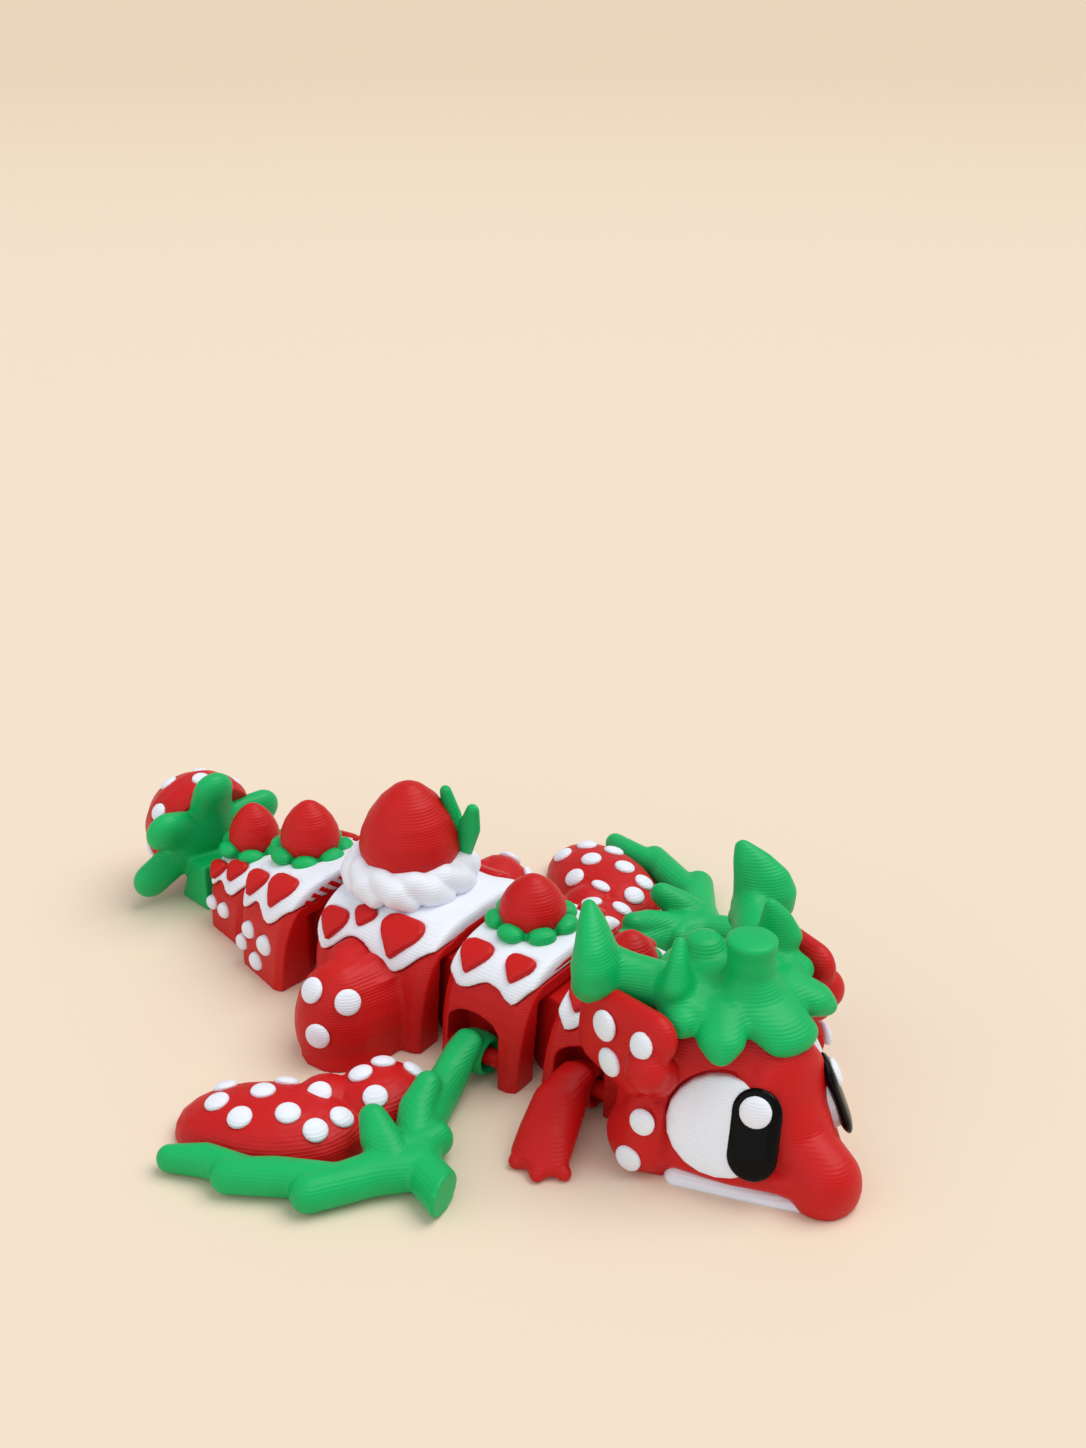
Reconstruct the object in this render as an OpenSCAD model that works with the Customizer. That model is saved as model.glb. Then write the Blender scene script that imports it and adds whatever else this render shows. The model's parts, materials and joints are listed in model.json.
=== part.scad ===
// Articulated cake dragon: a chain of cake slices, berries and leaves that bends on upright pins.
// The dragon looks along +X, its left side is +Y, and the origin is on the ground under its shoulders.

/* [Shoulder slice] */
// Length of the shoulder slice at its foot
shoulder_len = 7; // [6.6:0.1:8]
// Half width of the shoulder slice
shoulder_w = 7.3; // [7:0.1:8]
// Height of the shoulder slice under its icing
shoulder_h = 9.6; // [9:0.1:11]
// Radius of the shoulder berry
shoulder_berry_r = 2.5; // [2:0.1:2.8]

/* [Neck slice] */
// Length of the neck slice at its foot
neck_len = 8.8; // [8.5:0.1:9.2]
// Half width at the rear of the neck slice
neck_w = 7; // [6.8:0.1:7.2]
// Height of the neck slice under its icing
neck_h = 8.6; // [8:0.1:9]
// Radius of the neck berry
neck_berry_r = 2; // [1.6:0.1:2.2]

/* [Hip slice] */
// Length of the hip slice at its foot
hip_len = 10.8; // [10.4:0.1:12]
// Half width of the hip slice
hip_w = 7.6; // [7.4:0.1:8.4]
// Height of the hip slice under its icing
hip_h = 9.6; // [9:0.1:11]
// Radius of the large hip berry
hip_berry_r = 3.95; // [3.2:0.05:4.1]
// Radius of the whipped ring, from its middle to the middle of the rope
ring_r = 3.7; // [3.5:0.1:4.2]
// Thickness of the whipped ring
ring_thick = 2.9; // [2.4:0.1:3.4]
// Number of swirls in the whipped ring
ring_swirls = 10; // [6:1:14]

/* [Tail slices] */
// Length of the front tail slice at its foot
tail_front_len = 6.2; // [6:0.1:7]
// Half width at the front of the front tail slice
tail_front_w = 7.3; // [6.8:0.1:7.6]
// Height of the front tail slice under its icing
tail_front_h = 9; // [8.4:0.1:10]
// Radius of the front tail berry
tail_front_berry_r = 2.4; // [2:0.1:2.6]
// Length of the rear tail slice at its foot
tail_rear_len = 5; // [4.8:0.1:5.6]
// Half width at the front of the rear tail slice
tail_rear_w = 5; // [4.8:0.1:5.4]
// Height of the rear tail slice under its icing
tail_rear_h = 6.6; // [6.2:0.1:7.4]
// Radius of the rear tail berry
tail_rear_berry_r = 2.1; // [1.8:0.1:2.3]

/* [Head] */
// Height of the head under its leaves
head_h = 12.3; // [11.8:0.1:13]
// Distance from the neck pin to the tip of the nose
nose_reach = 18.7; // [18.2:0.1:19.4]
// Half width of the head at the cheeks
head_w = 8.4; // [8.3:0.1:9]
// Half length of an eye
eye_len = 4; // [3.4:0.1:4.2]
// Half height of an eye
eye_high = 3.8; // [3.3:0.1:4]
// Distance of an ear tip from the middle of the head
ear_out = 7.5; // [7.2:0.1:8]
// Height of the ear tips
ear_top = 17.4; // [17:0.1:18.6]

/* [Wings and legs] */
// Distance of a wing hinge pin from the middle of the body
wing_pin_y = 6.4; // [6.3:0.1:6.5]
// Thickness of a wing
wing_h = 2.8; // [2.4:0.1:3.2]
// Distance of a leg hinge pin from the middle of the neck
leg_pin_y = 5.5; // [5.4:0.1:5.6]
// Radius of the wing and leg hinge pins
side_pin_r = 0.65; // [0.6:0.05:0.7]

/* [Joints] */
// Radius of the upright pins that join the slices
pin_r = 0.95; // [0.8:0.05:1.05]
// Clearance between parts that move on each other
joint_gap = 0.3; // [0.25:0.05:0.35]
// Largest turn of a body joint from straight
body_turn = 10; // [8:1:10]
// Gap between neighbouring slices
slice_gap = 1.3; // [1.3:0.1:1.8]

/* [Resting bends] */
// Turn of the neck to the left
neck_turn = 3; // [0:1:8]
// Turn of the head against the neck
head_turn = -20.5; // [-26:0.5:0]
// Turn of the front tail slice against the hips
tail_front_turn = -6; // [-8:1:8]
// Turn of the rear tail slice against the front one
tail_rear_turn = 2; // [-8:1:8]
// Turn of the tail tip against the rear tail slice
tail_tip_turn = -6; // [-8:1:8]

/* [Trim] */
// Height that the icing stands proud of a slice
icing_proud = 0.35; // [0.25:0.05:0.5]
// Height that hearts stand proud of a slice
heart_proud = 0.6; // [0.5:0.05:0.9]
// Depth that icing and hearts are set into a slice
trim_seat = 0.4; // [0.3:0.05:0.5]

/* [Hidden] */
$fn = 48;

red = "#b3201c";
green = "#17a04a";
white = "#f2f2f6";
black = "#101010";

seat_gap = 0.02;
arch_n = 22;
tube_n = 10;
edge_round = 0.7;
arch_power = 3.3;

// Slices, each given as rear x, front x, rear and front half width, rear and front height, and the
// forward lean of the rear and the front at the top
shoulder = [-shoulder_len / 2 - 0.4, shoulder_len / 2 - 0.4, shoulder_w - 0.2, shoulder_w,
    shoulder_h - 0.1, shoulder_h, 0.2, 0.9];
neck = [-neck_len / 2, neck_len / 2, neck_w, neck_w - 1.7, neck_h, neck_h - 0.8, 0.8, 0.2];
hip = [-hip_len / 2, hip_len / 2 - 0.3, hip_w - 0.3, hip_w, hip_h - 0.2, hip_h, -0.2, 0.8];
tail_front = [-tail_front_len / 2, tail_front_len / 2, tail_front_w - 1.2, tail_front_w,
    tail_front_h - 1, tail_front_h, 0.2, 1.2];
tail_rear = [-tail_rear_len / 2, tail_rear_len / 2, tail_rear_w - 1, tail_rear_w,
    tail_rear_h - 0.8, tail_rear_h, 0.2, 0.9];

function rear_x(b) = b[0];
function front_x(b) = b[1];
function top_h(b) = max(b[4], b[5]);

// Depth of each upright pin behind the front face of the slice that carries it
pin_in = 3.3;
small_pin_in = 2.3;
tip_pin_in = 1.2;

// Rounded heels behind the pieces, which swing in the cavity of the piece behind: radius, height, the
// distance of the heel ahead of its pin, radius of the pin and wall of the eye around it
head_heel = [2.6, 5.4, 5.4, pin_r, 1.4];
neck_heel = [4, 6.8, pin_in + slice_gap, pin_r, 1.4];
shoulder_heel = [4.4, 7.2, pin_in + slice_gap + 0.4, pin_r, 1.4];
hip_heel = [3.4, 6, small_pin_in + slice_gap + 1.6, pin_r, 1.4];
tail_front_heel = [2.6, 4.4, small_pin_in + slice_gap + 0.4, pin_r, 0.75];
tail_rear_heel = [1.5, 2.8, tip_pin_in + slice_gap, 0.7, 0.8];
head_limit = 27;

// Places of the pins and of the slices along the chain, worked out from the resting bends
function turned(p, a) = [p[0] * cos(a) - p[1] * sin(a), p[0] * sin(a) + p[1] * cos(a)];

shoulder_pin_x = front_x(shoulder) - pin_in;
neck_x = front_x(shoulder) + slice_gap - rear_x(neck) - shoulder_pin_x;
neck_pin_x = neck_x + front_x(neck) - small_pin_in;
neck_at = [shoulder_pin_x, 0];
head_at = neck_at + turned([neck_pin_x, 0], neck_turn);
head_yaw = neck_turn + head_turn;

hip_gap = slice_gap + 0.4;
tail_gap = slice_gap + 1.6;
rear_gap = slice_gap + 0.4;
tip_gap = slice_gap;
hip_centre_x = rear_x(shoulder) - hip_gap - front_x(hip);
hip_pin_x = hip_centre_x + front_x(hip) - pin_in;
tail_front_pin = [hip_centre_x + rear_x(hip) - tail_gap - small_pin_in, 0];
tail_front_yaw = tail_front_turn;
tail_rear_pin = tail_front_pin
    + turned([-tail_front_len - rear_gap, 0], tail_front_yaw);
tail_rear_yaw = tail_front_yaw + tail_rear_turn;
tip_pin = tail_rear_pin + turned([small_pin_in - tail_rear_len - tip_gap - tip_pin_in, 0], tail_rear_yaw);
tip_yaw = tail_rear_yaw + tail_tip_turn;

// Frames of the moving bodies
module in_neck() { translate([neck_at[0], neck_at[1], 0]) rotate(neck_turn) children(); }
module in_head() { translate([head_at[0], head_at[1], 0]) rotate(head_yaw) children(); }
module in_hip() { translate([hip_centre_x, 0, 0]) children(); }
module in_tail_front() {
    translate([tail_front_pin[0], tail_front_pin[1], 0]) rotate(tail_front_yaw) children();
}
module in_tail_rear() {
    translate([tail_rear_pin[0], tail_rear_pin[1], 0]) rotate(tail_rear_yaw) children();
}
module in_tip() { translate([tip_pin[0], tip_pin[1], 0]) rotate(tip_yaw) children(); }

// Centres of the slices in the frame of the pin that they turn on
neck_slice = neck_x;
tail_front_slice = small_pin_in - front_x(tail_front);
tail_rear_slice = small_pin_in - front_x(tail_rear);

// A closed skin over rings of equal count, whose order turns right, up, left as seen along the rings
module skin(rings) {
    n = len(rings[0]);
    m = len(rings);
    polyhedron(
        points = [for (r = rings) each r],
        faces = concat(
            [[for (i = [n - 1:-1:0]) i]],
            [[for (i = [0:n - 1]) (m - 1) * n + i]],
            [for (k = [0:m - 2], i = [0:n - 1]) let (j = (i + 1) % n)
                each [[k * n + i, k * n + j, (k + 1) * n + j], [k * n + i, (k + 1) * n + j, (k + 1) * n + i]]]
        ),
        convexity = 6
    );
}

function power(v, e) = abs(v) < 0.000001 ? 0 : sign(v) * pow(abs(v), e);

// One arched section of a slice
function arch_ring(x, w, h, lean) = [for (i = [0:arch_n])
    let (a = 180 * i / arch_n, z = h * power(sin(a), 2 / arch_power))
        [x + lean * z / h, -w * power(cos(a), 2 / arch_power), z]];

// A slice, grown or shrunk all over by a set amount
module slice(b, grow = 0) {
    xr = b[0] - grow;
    xf = b[1] + grow;
    steps = [[0, 0.55], [edge_round, 0], [(xf - xr) / 2, 0], [xf - xr - edge_round, 0], [xf - xr, 0.55]];
    skin([for (s = steps) let (t = s[0] / (xf - xr), inset = s[1] * edge_round)
        arch_ring(xr + s[0], b[2] + (b[3] - b[2]) * t + grow - inset, b[4] + (b[5] - b[4]) * t + grow - inset,
            b[6] + (b[7] - b[6]) * t)]);
}

// A round tube along points that each hold a place, a half width and a half height, flat on the ground
function tube_ring(p, along) = let (
    d = along / norm(along),
    flat = norm([d[0], d[1]]) < 0.01 ? [0, 1, 0] : [-d[1], d[0], 0] / norm([d[0], d[1]]),
    up = cross(d, flat))
    [for (i = [0:tube_n - 1]) let (a = 360 * i / tube_n,
        q = [p[0], p[1], p[2]] - flat * p[3] * cos(a) + up * p[4] * sin(a)) [q[0], q[1], max(0, q[2])]];

function place(p) = [p[0], p[1], p[2]];
function bulge_end(p, d, s) = let (q = place(p) + d * s * p[3], k = sqrt(1 - s * s))
    [q[0], q[1], q[2], p[3] * k, p[4] * k];

module tube(path) {
    n = len(path);
    first = (place(path[0]) - place(path[1])) / norm(place(path[0]) - place(path[1]));
    last = (place(path[n - 1]) - place(path[n - 2])) / norm(place(path[n - 1]) - place(path[n - 2]));
    full = concat(
        [bulge_end(path[0], first, 0.94), bulge_end(path[0], first, 0.6)],
        path,
        [bulge_end(path[n - 1], last, 0.6), bulge_end(path[n - 1], last, 0.94)]
    );
    m = len(full);
    skin([for (i = [0:m - 1])
        tube_ring(full[i], place(full[min(m - 1, i + 1)]) - place(full[max(0, i - 1)]))]);
}

// A level ring with its own reach to the rear and to the front, for shapes built up from the ground
function egg_ring(z, c, rear, front, w, e, n) = [for (i = [0:n - 1])
    let (a = -360 * i / n, reach = cos(a) > 0 ? front : rear)
        [c[0] + reach * power(cos(a), 2 / e), c[1] + w * power(sin(a), 2 / e), z]];

// A heart outline of unit width, point down
heart_outline = [for (i = [0:19]) let (t = 18 * i)
    [16 * pow(sin(t), 3), 13 * cos(t) - 5 * cos(2 * t) - 2 * cos(3 * t) - cos(4 * t) + 2.5] / 32];

// Half width of a slice at a place along it and a height
function part_way(b, x) = (x - b[0]) / (b[1] - b[0]);
function side_y(b, x, z) = let (t = part_way(b, x), h = b[4] + (b[5] - b[4]) * t)
    (b[2] + (b[3] - b[2]) * t) * pow(max(0, 1 - pow(min(1, z / h), arch_power)), 1 / arch_power);
function side_slope(b, x, z) = let (t = part_way(b, x), h = b[4] + (b[5] - b[4]) * t,
    w = b[2] + (b[3] - b[2]) * t, y = side_y(b, x, z))
    atan2(pow(z / h, arch_power - 1) / h, pow(y / w, arch_power - 1) / w);

// Heart shaped plugs that stand square on both flanks, given as x, z, width and height
module heart_plugs(b, hearts, grow = 0) {
    for (h = hearts, side = [-1, 1])
        translate([h[0], side * side_y(b, h[0], h[1]), h[1]])
            rotate([side * side_slope(b, h[0], h[1]), 0, 0])
                rotate([90, 0, 0])
                    linear_extrude(height = 3.4, center = true)
                        polygon([for (p = heart_outline) [p[0] * (h[2] + grow), p[1] * (h[3] + grow)]]);
}

// The wavy lower edge of the icing through its key points
function wave(keys, n = 5) = [for (k = [0:len(keys) - 2], i = [0:n])
    if (i < n || k == len(keys) - 2)
        let (t = i / n, s = (1 - cos(180 * t)) / 2)
            [keys[k][0] + (keys[k + 1][0] - keys[k][0]) * t, keys[k][1] + (keys[k + 1][1] - keys[k][1]) * s]];

// A curtain is given by the height of its rear end, the keys between and the height of its front end
function rear_edge(b, z) = b[0] + b[6] * z / b[4] + edge_inset;
function front_edge(b, z) = b[1] + b[7] * z / b[5] - edge_inset;
edge_inset = 0.03;

module curtain(b, keys, lift = 0) {
    ends = concat([[rear_edge(b, keys[0]), keys[0]]], keys[1], [[front_edge(b, keys[2]), keys[2]]]);
    low = wave([for (k = ends) [k[0], k[1] + lift]]);
    top = top_h(b) + 3;
    rotate([90, 0, 0])
        linear_extrude(height = 40, center = true)
            polygon(concat(low, [[front_edge(b, top), top], [rear_edge(b, top), top]]));
}

module icing_on(b, keys, hearts) {
    difference() {
        intersection() {
            slice(b, icing_proud);
            curtain(b, keys, seat_gap);
        }
        slice(b, -trim_seat + seat_gap);
        heart_plugs(b, hearts, seat_gap * 2);
    }
}

module hearts_on(b, hearts) {
    difference() {
        intersection() {
            slice(b, heart_proud);
            heart_plugs(b, hearts);
        }
        slice(b, -trim_seat + seat_gap);
    }
}

// Room around the hearts for what lies on the icing
module heart_room(b, hearts) {
    intersection() {
        slice(b, heart_proud + seat_gap);
        heart_plugs(b, hearts, seat_gap * 2);
    }
}

// The skin of a slice that its icing and its hearts are set into
module trim_bed(b, keys, hearts) {
    difference() {
        union() {
            curtain(b, keys);
            heart_plugs(b, hearts, seat_gap * 2);
        }
        slice(b, -trim_seat);
    }
}

// A tongue with a rounded heel and an eye for the upright pin, drawn in the frame of that pin
module heel(k, into) {
    difference() {
        union() {
            translate([k[2], 0, 0]) cylinder(r = k[0], h = k[1]);
            cylinder(r = k[3] + joint_gap + k[4], h = k[1]);
            translate([0, -k[0] * tongue_part, 0]) cube([k[2] + into, k[0] * tongue_part * 2, k[1]]);
        }
        translate([0, 0, -1]) cylinder(r = k[3] + joint_gap, h = k[1] + 2);
        translate([0, 0, -1]) cylinder(r = k[3] + joint_gap + foot_wall, h = foot_h + joint_gap + 1);
    }
}
tongue_part = 0.62;
foot_wall = 0.5;
foot_h = 0.8;

// The space that a heel sweeps in the slice that carries its pin, less the pin itself
function swept_heel(k, turn, n = 9) = let (
    r = k[0] + joint_gap,
    x = k[2] * cos(turn),
    y = k[2] * sin(turn))
    concat(
        [[k[2] + r, -y - r], [k[2] + r, y + r]],
        [for (i = [0:n]) let (a = 90 + 90 * i / n) [x + r * cos(a), y + r * sin(a)]],
        [for (i = [0:n]) let (a = 180 + 90 * i / n) [x + r * cos(a), -y + r * sin(a)]]
    );

function swept_tongue(k, turn) = let (
    a = (k[0] * tongue_part + joint_gap) / cos(turn),
    b = a + k[2] * tan(turn))
    [[0, -a], [k[2], -b], [k[2], b], [0, a]];

module heel_cavity(k, turn) {
    difference() {
        translate([0, 0, -1]) union() {
            linear_extrude(height = k[1] + joint_gap + 1) polygon(swept_heel(k, turn));
            linear_extrude(height = k[1] + joint_gap + 1) polygon(swept_tongue(k, turn));
            cylinder(r = k[3] + 2 * joint_gap + k[4], h = k[1] + joint_gap + 1);
        }
        cylinder(r = k[3], h = k[1] + 2);
        cylinder(r = k[3] + foot_wall, h = foot_h);
    }
}

// An arch in each flank with a hinge pin across it
module flank_arches(x0, x1, y_in, y_out, top) {
    for (side = [-1, 1]) {
        translate([x0, side > 0 ? y_in : -y_out, -1]) cube([x1 - x0, y_out - y_in, top]);
        translate([(x0 + x1) / 2, side * (y_in + y_out) / 2, top - 1])
            rotate([90, 0, 0])
                linear_extrude(height = y_out - y_in, center = true)
                    polygon([for (i = [0:12]) let (a = 15 * i) [(x1 - x0) / 2 * cos(a), 1.2 * sin(a)]]);
    }
}

module side_pins(x0, x1, y, z) {
    for (side = [-1, 1])
        translate([x0, side * y, z]) rotate([0, 90, 0]) cylinder(r = side_pin_r, h = x1 - x0);
}

// A low domed dot, seated on a surface and facing along a direction
module dot(p, dir, r, proud = 0.45) {
    yaw = atan2(dir[1], dir[0]);
    tip = acos(dir[2] / norm(dir));
    translate(p) rotate([0, tip, yaw])
        rotate_extrude($fn = 24)
            polygon(concat([[0, -dot_deep], [r, -dot_deep]],
                [for (i = [0:4]) [r * cos(22.5 * i), proud * sin(22.5 * i)]]));
}
dot_deep = 0.6;

module dot_pocket(p, dir, r) {
    yaw = atan2(dir[1], dir[0]);
    tip = acos(dir[2] / norm(dir));
    translate(p) rotate([0, tip, yaw])
        translate([0, 0, -dot_deep - seat_gap]) cylinder(r = r + seat_gap, h = dot_deep + 2);
}

// A berry with a pointed top, standing on its flat foot
function berry_profile(r, h, n = 14) = concat([[0, 0]],
    [for (i = [0:n]) let (t = i / n, s = pow(sin(180 * (0.14 + 0.86 * t)), 0.72),
        z = h * (1 - cos(180 * t)) / 2) [max(r * s * (1 - 0.18 * t * t), i == n ? 0 : 0.05), z]]);

module berry(r, h) { rotate_extrude() polygon(berry_profile(r, h)); }

// A ring of small leaves under a berry
module calyx(r, z, leaves, start, leaf_w) {
    for (i = [0:leaves - 1])
        rotate(start + 360 * i / leaves)
            tube([
                [r * 0.8, 0, z - 0.1, leaf_w * 0.9, 0.5],
                [r * 1.1, 0, z - 0.1, leaf_w, 0.6],
                [r * 1.34, 0.1, z - 0.15, leaf_w * 0.9, 0.55]
            ]);
}

// Layout of the icing and the hearts on each slice
shoulder_wave = [7.6, [[-2.3, 6.8], [0.3, 7.8], [2.4, 7]], 8.3];
shoulder_hearts_at = [[-2, 8.6, 2.3, 2.8], [1.8, 8.8, 2.1, 2.4]];
neck_wave = [7.2, [[-2.5, 6.1], [-0.5, 7.3], [1.6, 6.3]], 7.1];
neck_hearts_at = [[-2.2, 7.75, 2.1, 2.3], [1.6, 7.55, 1.9, 2.1]];
hip_wave = [6.9, [[-4.5, 5.6], [-1.6, 7.4], [2.4, 6.1]], 8.3];
hip_hearts_at = [[-3.9, 7.6, 2.1, 2.7], [-1.5, 8.5, 1.7, 1.8], [2.2, 8.3, 3.3, 3.5]];
tail_front_wave = [6.2, [[-2.2, 5.2], [-0.6, 6.3], [1.3, 5.3]], 7.2];
tail_front_hearts_at = [[-1.7, 7.1, 1.9, 2.4], [1.4, 7.7, 2.7, 3]];
tail_rear_wave = [5, [[-1.7, 3.9], [-0.6, 4.7], [0.9, 4]], 5.6];
tail_rear_hearts_at = [[-1.4, 5.1, 1.5, 1.8], [0.7, 5.7, 1.9, 2.1]];

// Dots on the flanks, given as x, z and radius
tail_front_dots_at = [[-2.5, 2, 0.7], [-1.4, 3.6, 0.75], [1.1, 3.4, 0.85], [-0.3, 1.3, 0.8]];
tail_rear_dots_at = [[-1.7, 2.3, 0.65], [0.2, 2.4, 0.7]];

module flank_dots(b, dots, proud = 0.35) {
    for (d = dots, side = [-1, 1])
        dot([d[0], side * side_y(b, d[0], d[1]), d[1]], [0, side, 0], d[2], proud);
}

module flank_dot_beds(b, dots) {
    for (d = dots, side = [-1, 1])
        dot_pocket([d[0], side * side_y(b, d[0], d[1]), d[1]], [0, side, 0], d[2]);
}

// Flat seats for the berries on the tops of the slices
module berry_bed(r, z) { translate([0, 0, z]) cylinder(r = r, h = 8); }
module berry_seat(at, r) { translate([at[0], 0, 0]) berry_bed(r + seat_gap, at[1]); }

shoulder_berry_at = [-0.4, shoulder_h - 0.2];
neck_berry_at = [-0.9, neck_h - 0.6];
tail_front_berry_at = [-0.6, tail_front_h - 0.9];
tail_rear_berry_at = [-0.5, tail_rear_h - 0.7];

module seated_berry(at, r, h) { translate([at[0], 0, at[1] + seat_gap]) berry(r, h); }

module seated_calyx(at, r, leaves, start, leaf_w, b, hearts) {
    translate([at[0], 0, 0]) difference() {
        union() {
            calyx(r, at[1] + 0.75, leaves, start, leaf_w);
            translate([0, 0, at[1] + 0.3]) cylinder(r = r * 1.16, h = 0.75);
        }
        translate([-at[0], 0, 0]) {
            slice(b, icing_proud + seat_gap);
            heart_room(b, hearts);
        }
        translate([0, 0, at[1] - 1]) cylinder(r = r + seat_gap, h = 5);
    }
}

// The shoulder slice, the body that everything else hangs on
wing_arch = [-3, 1.6];
wing_arch_top = 5.2;
side_pin_z = 1.9;
eye_wall = 0.65;

module shoulder_block() {
    color(red) {
        difference() {
            union() {
                difference() {
                    slice(shoulder);
                    trim_bed(shoulder, shoulder_wave, shoulder_hearts_at);
                }
                translate([hip_pin_x, 0, 0]) heel(shoulder_heel, 2);
            }
            translate([shoulder_pin_x, 0, 0]) heel_cavity(neck_heel, body_turn);
            flank_arches(wing_arch[0], wing_arch[1], wing_pin_y - side_eye_r - joint_gap, shoulder_w + 1,
                wing_arch_top);
            berry_seat(shoulder_berry_at, shoulder_berry_r);
        }
        side_pins(wing_arch[0] - 0.4, wing_arch[1] + 0.4, wing_pin_y, side_pin_z);
    }
}
side_eye_r = side_pin_r + joint_gap + eye_wall;

module shoulder_icing() {
    color(white) difference() {
        icing_on(shoulder, shoulder_wave, shoulder_hearts_at);
        berry_seat(shoulder_berry_at, shoulder_berry_r);
    }
}

module shoulder_hearts() { color(red) hearts_on(shoulder, shoulder_hearts_at); }

module shoulder_calyx() {
    color(green) seated_calyx(shoulder_berry_at, shoulder_berry_r, 7, 12, 0.75, shoulder,
        shoulder_hearts_at);
}

module shoulder_berry() {
    color(red) seated_berry(shoulder_berry_at, shoulder_berry_r, shoulder_berry_r * 1.72);
}

// The neck slice and its front legs
leg_arch = [neck_x - 3.1, neck_x + 0.5];
leg_arch_top = 5;

module neck_block() {
    color(red) in_neck() {
        difference() {
            union() {
                translate([neck_slice, 0, 0]) difference() {
                    slice(neck);
                    trim_bed(neck, neck_wave, neck_hearts_at);
                }
                heel(neck_heel, 2);
            }
            translate([neck_pin_x, 0, 0]) heel_cavity(head_heel, head_limit + 1);
            flank_arches(leg_arch[0], leg_arch[1], leg_pin_y - side_eye_r - joint_gap, neck_w + 1,
                leg_arch_top);
            translate([neck_slice, 0, 0]) berry_seat(neck_berry_at, neck_berry_r);
        }
        side_pins(leg_arch[0] - 0.4, leg_arch[1] + 0.4, leg_pin_y, side_pin_z);
    }
}

module neck_icing() {
    color(white) in_neck() translate([neck_slice, 0, 0]) difference() {
        icing_on(neck, neck_wave, neck_hearts_at);
        berry_seat(neck_berry_at, neck_berry_r);
    }
}

module neck_hearts() { color(red) in_neck() translate([neck_slice, 0, 0]) hearts_on(neck, neck_hearts_at); }

module neck_calyx() {
    color(green) in_neck() translate([neck_slice, 0, 0])
        seated_calyx(neck_berry_at, neck_berry_r, 6, 20, 0.65, neck, neck_hearts_at);
}

module neck_berry() {
    color(red) in_neck() translate([neck_slice, 0, 0])
        seated_berry(neck_berry_at, neck_berry_r, neck_berry_r * 1.85);
}

// An eye on a level pin along X
module side_eye(x0, x1, y, z) {
    difference() {
        translate([x0, y, z]) rotate([0, 90, 0]) cylinder(r = side_eye_r, h = x1 - x0);
        translate([x0 - 1, y, z]) rotate([0, 90, 0]) cylinder(r = side_pin_r + joint_gap, h = x1 - x0 + 2);
    }
}

module side_bore(x0, x1, y, z) {
    translate([x0 - 1, y, z]) rotate([0, 90, 0]) cylinder(r = side_pin_r + joint_gap, h = x1 - x0 + 2);
}

leg_x = (leg_arch[0] + leg_arch[1]) / 2;

module front_leg() {
    side_eye(leg_x - 1.3, leg_x + 1.3, leg_pin_y, side_pin_z);
    difference() {
        union() {
            tube([
                [leg_x, leg_pin_y + 0.5, 3.1, 1.25, 0.75],
                [leg_x, leg_pin_y + 2, 2.9, 1.4, 1.1],
                [leg_x + 0.1, leg_pin_y + 3.6, 2.4, 1.75, 1.5],
                [leg_x + 0.3, leg_pin_y + 5.4, 1.7, 1.8, 1.4],
                [leg_x + 0.5, leg_pin_y + 7.3, 1.1, 1.75, 1.05]
            ]);
            for (toe = [[-0.4, 9.1], [1.7, 9.2], [2.7, 7.5]])
                tube([
                    [leg_x + 0.4, leg_pin_y + 6.8, 0.8, 1, 0.8],
                    [leg_x + 0.4 + toe[0] * 0.6, leg_pin_y + 6.8 + (toe[1] - 6.8) * 0.6, 0.7, 0.8, 0.7],
                    [leg_x + 0.4 + toe[0], leg_pin_y + toe[1], 0.5, 0.4, 0.5]
                ]);
        }
        side_bore(leg_x - 3, leg_x + 3, leg_pin_y, side_pin_z);
    }
}

module front_leg_right() { color(red) in_neck() mirror([0, 1, 0]) front_leg(); }
module front_leg_left() { color(red) in_neck() front_leg(); }

// The head, in the frame of the pin that it turns on: x, half width, height and squareness
head_rows = [
    [3.6, head_w - 0.9, head_h - 1.3, 3.6],
    [4.4, head_w - 0.3, head_h - 0.5, 3.6],
    [6.4, head_w - 0.5, head_h, 3],
    [8.4, head_w - 1.5, head_h - 0.3, 2.6],
    [10.4, head_w - 2.7, head_h - 1, 2.1],
    [12.2, head_w - 3.8, head_h - 2.1, 1.9],
    [13.6, head_w - 4.6, head_h - 3.3, 1.8],
    [14.8, head_w - 5.1, head_h - 4.4, 1.8],
    [nose_reach - 2.8, 3, 6.6, 1.9],
    [nose_reach - 1.7, 2.8, 5.1, 2.1],
    [nose_reach - 0.9, 2.4, 4, 2.2],
    [nose_reach - 0.3, 1.9, 3, 2.2],
    [nose_reach, 1.2, 2.2, 2.2]
];
head_arch_n = 24;

module head_form(grow = 0) {
    skin([for (r = head_rows) let (end = r[0] > nose_reach - 0.1 ? grow : r[0] < 3.7 ? -grow : 0)
        [for (i = [0:head_arch_n]) let (a = 180 * i / head_arch_n)
            [r[0] + end, -(r[1] + grow) * power(cos(a), 2 / r[3]),
                (r[2] + grow) * power(sin(a), 2 / r[3])]]]);
}

// The cheek fin reaches back beside the neck
fin_outline = [[7.2, 5], [7.8, 7], [8.4, 9.4], [8.2, 11.2], [6.6, 12.2], [4.4, 12.2], [2.8, 11.8],
    [1.6, 10.8], [1.1, 9.4], [1.4, 7.8], [2.6, 6.6], [4.4, 5.8], [5.8, 5]];

// An eye is given by its middle, the way it faces and how far it looks up
eye_at = [11.2, 4.65, 5];
eye_yaw = 55.6;
eye_tilt = 20;

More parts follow.
